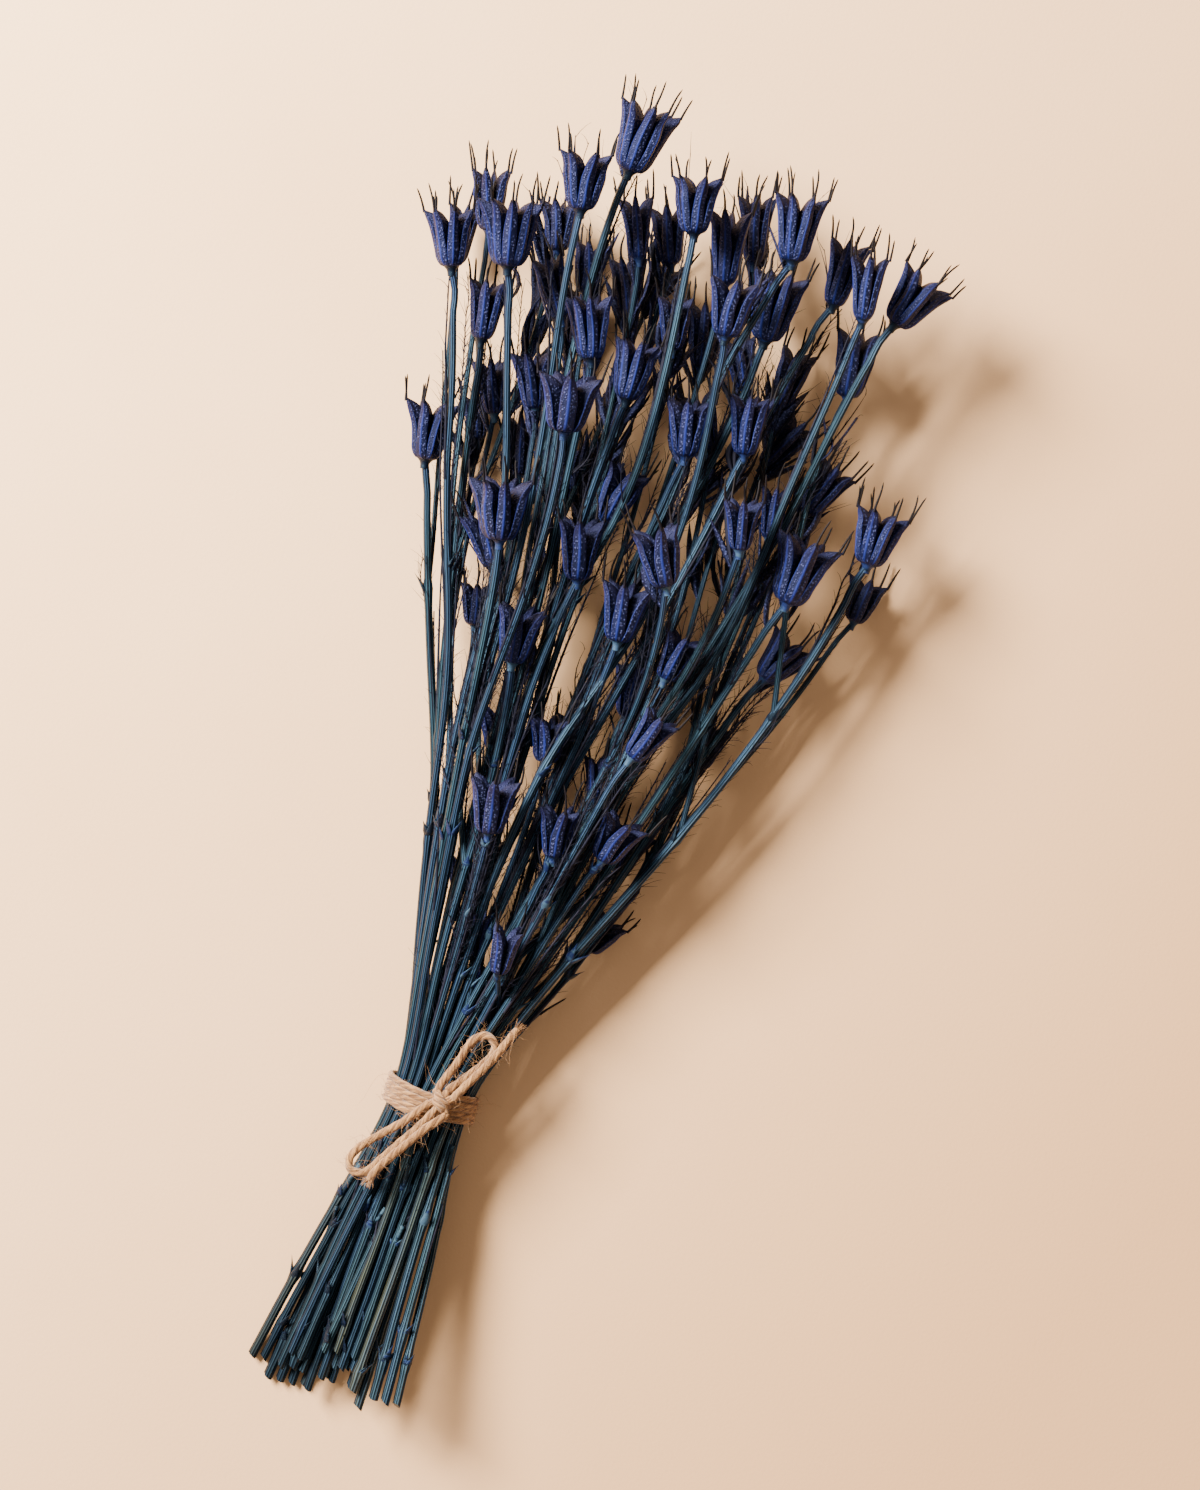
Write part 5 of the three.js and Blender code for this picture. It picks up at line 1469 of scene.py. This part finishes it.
def make_pod_material():
    graph = Graph("dyed_pod", Specular_IOR_Level=0.5, Specular_Tint=(0.3, 0.38, 0.85, 1.0))
    tone, place, ridge, groove, raised = (graph.mark(name) for name in Pile.MARKS)
    inputs = {"Vector": graph.grain((1.15, 1.15, 1.15)), "Scale": 1.0}
    cells = graph.node("TexVoronoi", inputs, output="Distance")
    fine = graph.grown((1.0, 1.0, 1.0), 3.2, 4.0, 0.7)
    patches = graph.grown((0.12, 0.3, 0.3), 1.0, 2.0)
    mottle = graph.grown((0.8, 1.3, 1.3), 1.0, 3.0, 0.65)
    pimples = graph.times(graph.span(cells, 0.46, 0.22), graph.math("SUBTRACT", 1.0, ridge, True))
    dry = graph.times(graph.span(place, 0.55, 1.0, 0.0, 0.85), graph.span(fine, 0.3, 0.6, 0.5, 1.0))
    colour = graph.coats(
        graph.ramp(tone, [(0.0, (14, 18, 62)), (0.5, (20, 28, 90)), (1.0, (34, 42, 122))]),
        (patches, 0.38, 0.66, 0.65, (10, 14, 66)),
        (mottle, 0.48, 0.7, 0.5, (90, 98, 180)),
        # Painted glints: pale tops on the pimples, whose relief is in the bump
        (pimples, 0.0, 1.0, 0.9, (148, 152, 232)),
        (cells, 0.45, 0.75, 0.6, (10, 12, 40)),
        # Painted highlight along the nerves
        (ridge, 0.0, 1.0, 0.7, (60, 78, 204)),
        (dry, 0.0, 1.0, 1.0, (56, 44, 92)),
        (place, 0.9, 1.0, 0.8, (26, 20, 30)),
        (place, 0.14, 0.0, 0.35, (40, 62, 180)),
        # Painted shade in the follicles' grooves and inner walls; on the shrivelled blades it darkens
        # them evenly
        (groove, 0.0, 1.0, 0.9, (8, 9, 22)),
        # Painted shade: darker low in the bunch
        (raised, PAINTED_SHADE_FROM, PAINTED_SHADE_FULL, MOST_PAINTED_SHADE, (10, 11, 24)),
    )
    height = graph.math("ADD", pimples, graph.times(fine, 0.6))
    rough = graph.span(fine, 0.3, 0.7, 0.42, 0.66)
    return graph.finish(colour, height, 0.00034, 1.0, POD_SHADE, rough)


def make_beak_material():
    graph = Graph("dry_beak", Roughness=0.6, Specular_IOR_Level=0.15)
    spots = graph.grown((1, 1, 1), 1.2, 3.0)
    colour = graph.coats(
        graph.mix(graph.mark("tone"), srgb(14, 11, 24), srgb(28, 20, 28)),
        (graph.mark("place"), 0.3, 0.0, 0.5, (28, 25, 60)),
        (spots, 0.4, 0.65, 0.6, (16, 12, 20)),
    )
    return graph.finish(colour, spots, 0.0001, 0.6, LEAF_SHADE)


def make_leaf_material():
    graph = Graph("dry_leaf", Roughness=0.7, Specular_IOR_Level=0.15)
    spots = graph.grown((1, 1, 1), 0.9, 3.0)
    colour = graph.mix(graph.mark("tone"), srgb(17, 21, 44), srgb(42, 44, 66))
    colour = graph.coats(colour, (spots, 0.45, 0.65, 0.6, (24, 32, 70)))
    return graph.finish(colour, spots, 0.0001, 0.6, LEAF_SHADE)


def make_jute_material(name, light, dark):
    graph = Graph(name, Roughness=0.85, Sheen_Weight=0.25, Specular_IOR_Level=0.2)
    fibres = graph.grown((0.2, 1.5, 1.5), 1.2, 5.0, 0.75)
    colour = graph.coats(
        graph.mix(graph.span(fibres, 0.42, 0.58), srgb(*dark), srgb(*light)),
        (graph.grown((0.12, 0.2, 0.2), 1.0, 2.0), 0.4, 0.7, 0.3, dark),
        (graph.mark("tone"), 0.0, 1.0, 0.25, light),
        # Painted shade in the grooves between the plies
        (graph.mark("deep"), 0.25, 1.0, 0.85, (92, 60, 36)),
    )
    return graph.finish(colour, fibres, 0.0008, 1.0, JUTE_SHADE)


FLOOR_HALF_WIDTH = 4.0
CORNER_SIGNS = ((-1, -1), (1, -1), (1, 1), (-1, 1))
# Direction in which the floor is painted darker
FLOOR_SHADE_TOWARDS = (0.9, -0.44, 0.0)


def make_floor_material():
    """Pale warm board with painted shade: darker and warmer towards the lower right as the camera
    sees it, away from the light at the upper left.
    """
    graph = Graph("pale_surface", Roughness=0.85, Specular_IOR_Level=0.15)
    place = graph.node("NewGeometry", output="Position")
    inputs = {0: place, 1: FLOOR_SHADE_TOWARDS}
    aside = graph.node("VectorMath", inputs, output="Value", operation="DOT_PRODUCT")
    clouds = graph.noise(place, 9.0, 3.0, 0.5)
    grit = graph.noise(place, 900.0, 3.0, 0.6)
    colour = graph.coats(
        graph.mix(graph.span(clouds, 0.3, 0.7), srgb(226, 190, 150), srgb(230, 196, 158)),
        # Painted shade: darker and warmer towards the lower right
        (aside, -0.24, 0.24, 1.0, (196, 154, 112)),
        (grit, 0.55, 0.8, 0.1, (196, 156, 118)),
    )
    return graph.finish(colour, grit, 0.0002, 0.25)


SENSOR_WIDTH = 36


def add_camera():
    lens = bpy.data.cameras.new("camera")
    lens.sensor_width = SENSOR_WIDTH
    lens.lens = SENSOR_WIDTH * CAMERA_HEIGHT / (PHOTO_SIZE[1] * PIXEL)
    lens.clip_start = 0.05
    lens.clip_end = 20
    camera = put_in_scene("camera", lens)
    camera.location = to_row([-TIE[0], -TIE[1], CAMERA_HEIGHT])
    camera.rotation_euler = (0, 0, math.radians(BUNCH_LEAN))
    bpy.context.scene.camera = camera


# The soft light from the photograph's upper left, in metres right of and up from the bunch
KEY_RIGHT, KEY_UP, KEY_HEIGHT = -1.04, 0.9, 1.1
KEY_SIZE = 0.7
KEY_WATTS = 240
KEY_COLOUR = (1.0, 0.9, 0.78)
SKY_COLOUR = (1.0, 0.82, 0.68, 1)
SKY_STRENGTH = 0.6


def add_surroundings():
    mesh = bpy.data.meshes.new("surface")
    corners = [(x * FLOOR_HALF_WIDTH, y * FLOOR_HALF_WIDTH, 0) for x, y in CORNER_SIGNS]
    mesh.from_pydata(corners, [], [(0, 1, 2, 3)])
    mesh.materials.append(make_floor_material())
    put_in_scene("surface", mesh)
    data = bpy.data.lights.new("key", "AREA")
    data.energy = KEY_WATTS
    data.size = KEY_SIZE
    data.color = KEY_COLOUR
    light = put_in_scene("key", data)
    light.location = (*turned(KEY_RIGHT, KEY_UP), KEY_HEIGHT)
    light.rotation_euler = (-light.location).to_track_quat("-Z", "Y").to_euler()
    world = bpy.data.worlds.new("studio")
    world.use_nodes = True
    background = world.node_tree.nodes["Background"]
    background.inputs["Color"].default_value = SKY_COLOUR
    background.inputs["Strength"].default_value = SKY_STRENGTH
    bpy.context.scene.world = world


# Loose fibres: how many a millimetre of free twine, and how many on the turns, with their reach,
# their slot and their thickness
FREE_HAIRS = ((2.4, 3.4, JUTE, 0.06), (0.3, 7.0, JUTE, 0.07), (0.3, 5.5, DYED, 0.05))
BINDING_HAIRS = ((420, 2.6, 0.05), (40, 7.5, 0.06))
LOWEST_TWINE = 0.05
TWINE_SEED = 77


def add_twine(leaf_material, rng):
    """The bow's free stretches, the turns and the knot, and the loose fibres on them."""
    jute = make_jute_material("jute_twine", (255, 220, 176), (116, 78, 46))
    fibre = make_jute_material("jute_fibre", (236, 202, 162), (184, 142, 102))
    fibres = Pile()
    starts = []
    for name, route in BOW_ROUTES.items():
        line, length = bow_line(name, route)
        starts.append(line[0])
        if "loop" in name:
            starts.append(line[-1])
        stretch = Pile()
        rope(stretch, line, TWINE_RADIUS, rng)
        made = stretch.build(name + "_twine", [jute])
        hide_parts(name)
        for hairs_a_mm, reach, slot, thick in FREE_HAIRS:
            count = int(length * hairs_a_mm)
            add_hairs(fibres, line, TWINE_RADIUS, count, reach, slot, rng, thick)
        if "tail" in name:
            add_frayed_end(fibres, line, rng)
    binding = Pile()
    line = binding_line()
    rope(binding, line, TURN_RADIUS, rng, LOWEST_TWINE)
    add_knot(binding, starts, rng)
    made = binding.build("twine_turns_and_knot", [jute])
    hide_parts("twine_binding")
    for count, reach, thick in BINDING_HAIRS:
        add_hairs(fibres, line, TURN_RADIUS, count, reach, JUTE, rng, thick)
    made = fibres.build("twine_fibres", [fibre, leaf_material])


# Where the nodes of a main stem stand that carry no branch. The middle one has the cut shoot
FREE_NODES = ((-92, -60), (-52, -18), (40, 120))
MOST_BRACTS = 3
# Combs: long ones between two heights, and short ones below and above the tie
LONG_COMBS = 5
LOWEST_COMB = 18
COMBS_END_BELOW_POD = 40
SHORT_COMBS = ((-52, -32), (10, 30))
SPRAY_SEED = 700


def add_sprays(stems, branches, leaf_material):
    materials = [make_stem_material(), make_pod_material(), make_beak_material(), leaf_material]
    leaves = grow_leaves(stems, stems + branches)
    edges = bunch_edges(stems + branches)
    for order, stem in enumerate(stems):
        rng = np.random.default_rng(SPRAY_SEED + order)
        pile = Pile()
        own = [branch for branch in branches if branch.parent is stem]
        forks = [float(STATIONS[branch.first]) for branch in own]
        free_nodes = [float(rng.uniform(*reach)) for reach in FREE_NODES]
        nodes = forks + free_nodes
        line = add_stem(pile, stem, nodes, rng)
        for node in nodes:
            for _ in range(rng.integers(1, MOST_BRACTS + 1)):
                add_bract(pile, line, node, stem.stem_radius, rng)
        if rng.uniform() < CUT_SHOOT_SHARE:
            add_cut_shoot(pile, line, free_nodes[1], stem.stem_radius, rng)
        add_pod(pile, stem, rng)
        add_tufts(pile, stem, line, edges, rng)
        for branch in own:
            branch_line = add_stem(pile, branch, [], rng)
            add_pod(pile, branch, rng)
            add_tufts(pile, branch, branch_line, edges, rng)
            add_comb(pile, branch_line, branch_line[0, 1] + 4, rng.uniform(15, 35), edges, rng)
        for points in leaves[order]:
            add_leaf(pile, points, rng)
        highest = stem.base_y - COMBS_END_BELOW_POD
        starts = [lerp(LOWEST_COMB, highest, rng.uniform()) for _ in range(LONG_COMBS)]
        for start in (*forks, *starts):
            add_comb(pile, line, start, rng.uniform(35, 110), edges, rng)
        for start in [rng.uniform(*reach) for reach in SHORT_COMBS]:
            add_comb(pile, line, start, rng.uniform(12, 22), edges, rng)
        made = pile.build(f"spray_{order + 1:02d}_grown", materials)
        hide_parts(f"spray_{order + 1:02d}")


add_camera()
dry_leaf = make_leaf_material()
add_twine(dry_leaf, np.random.default_rng(TWINE_SEED))
add_sprays(*lay_out_bunch(), dry_leaf)
add_surroundings()
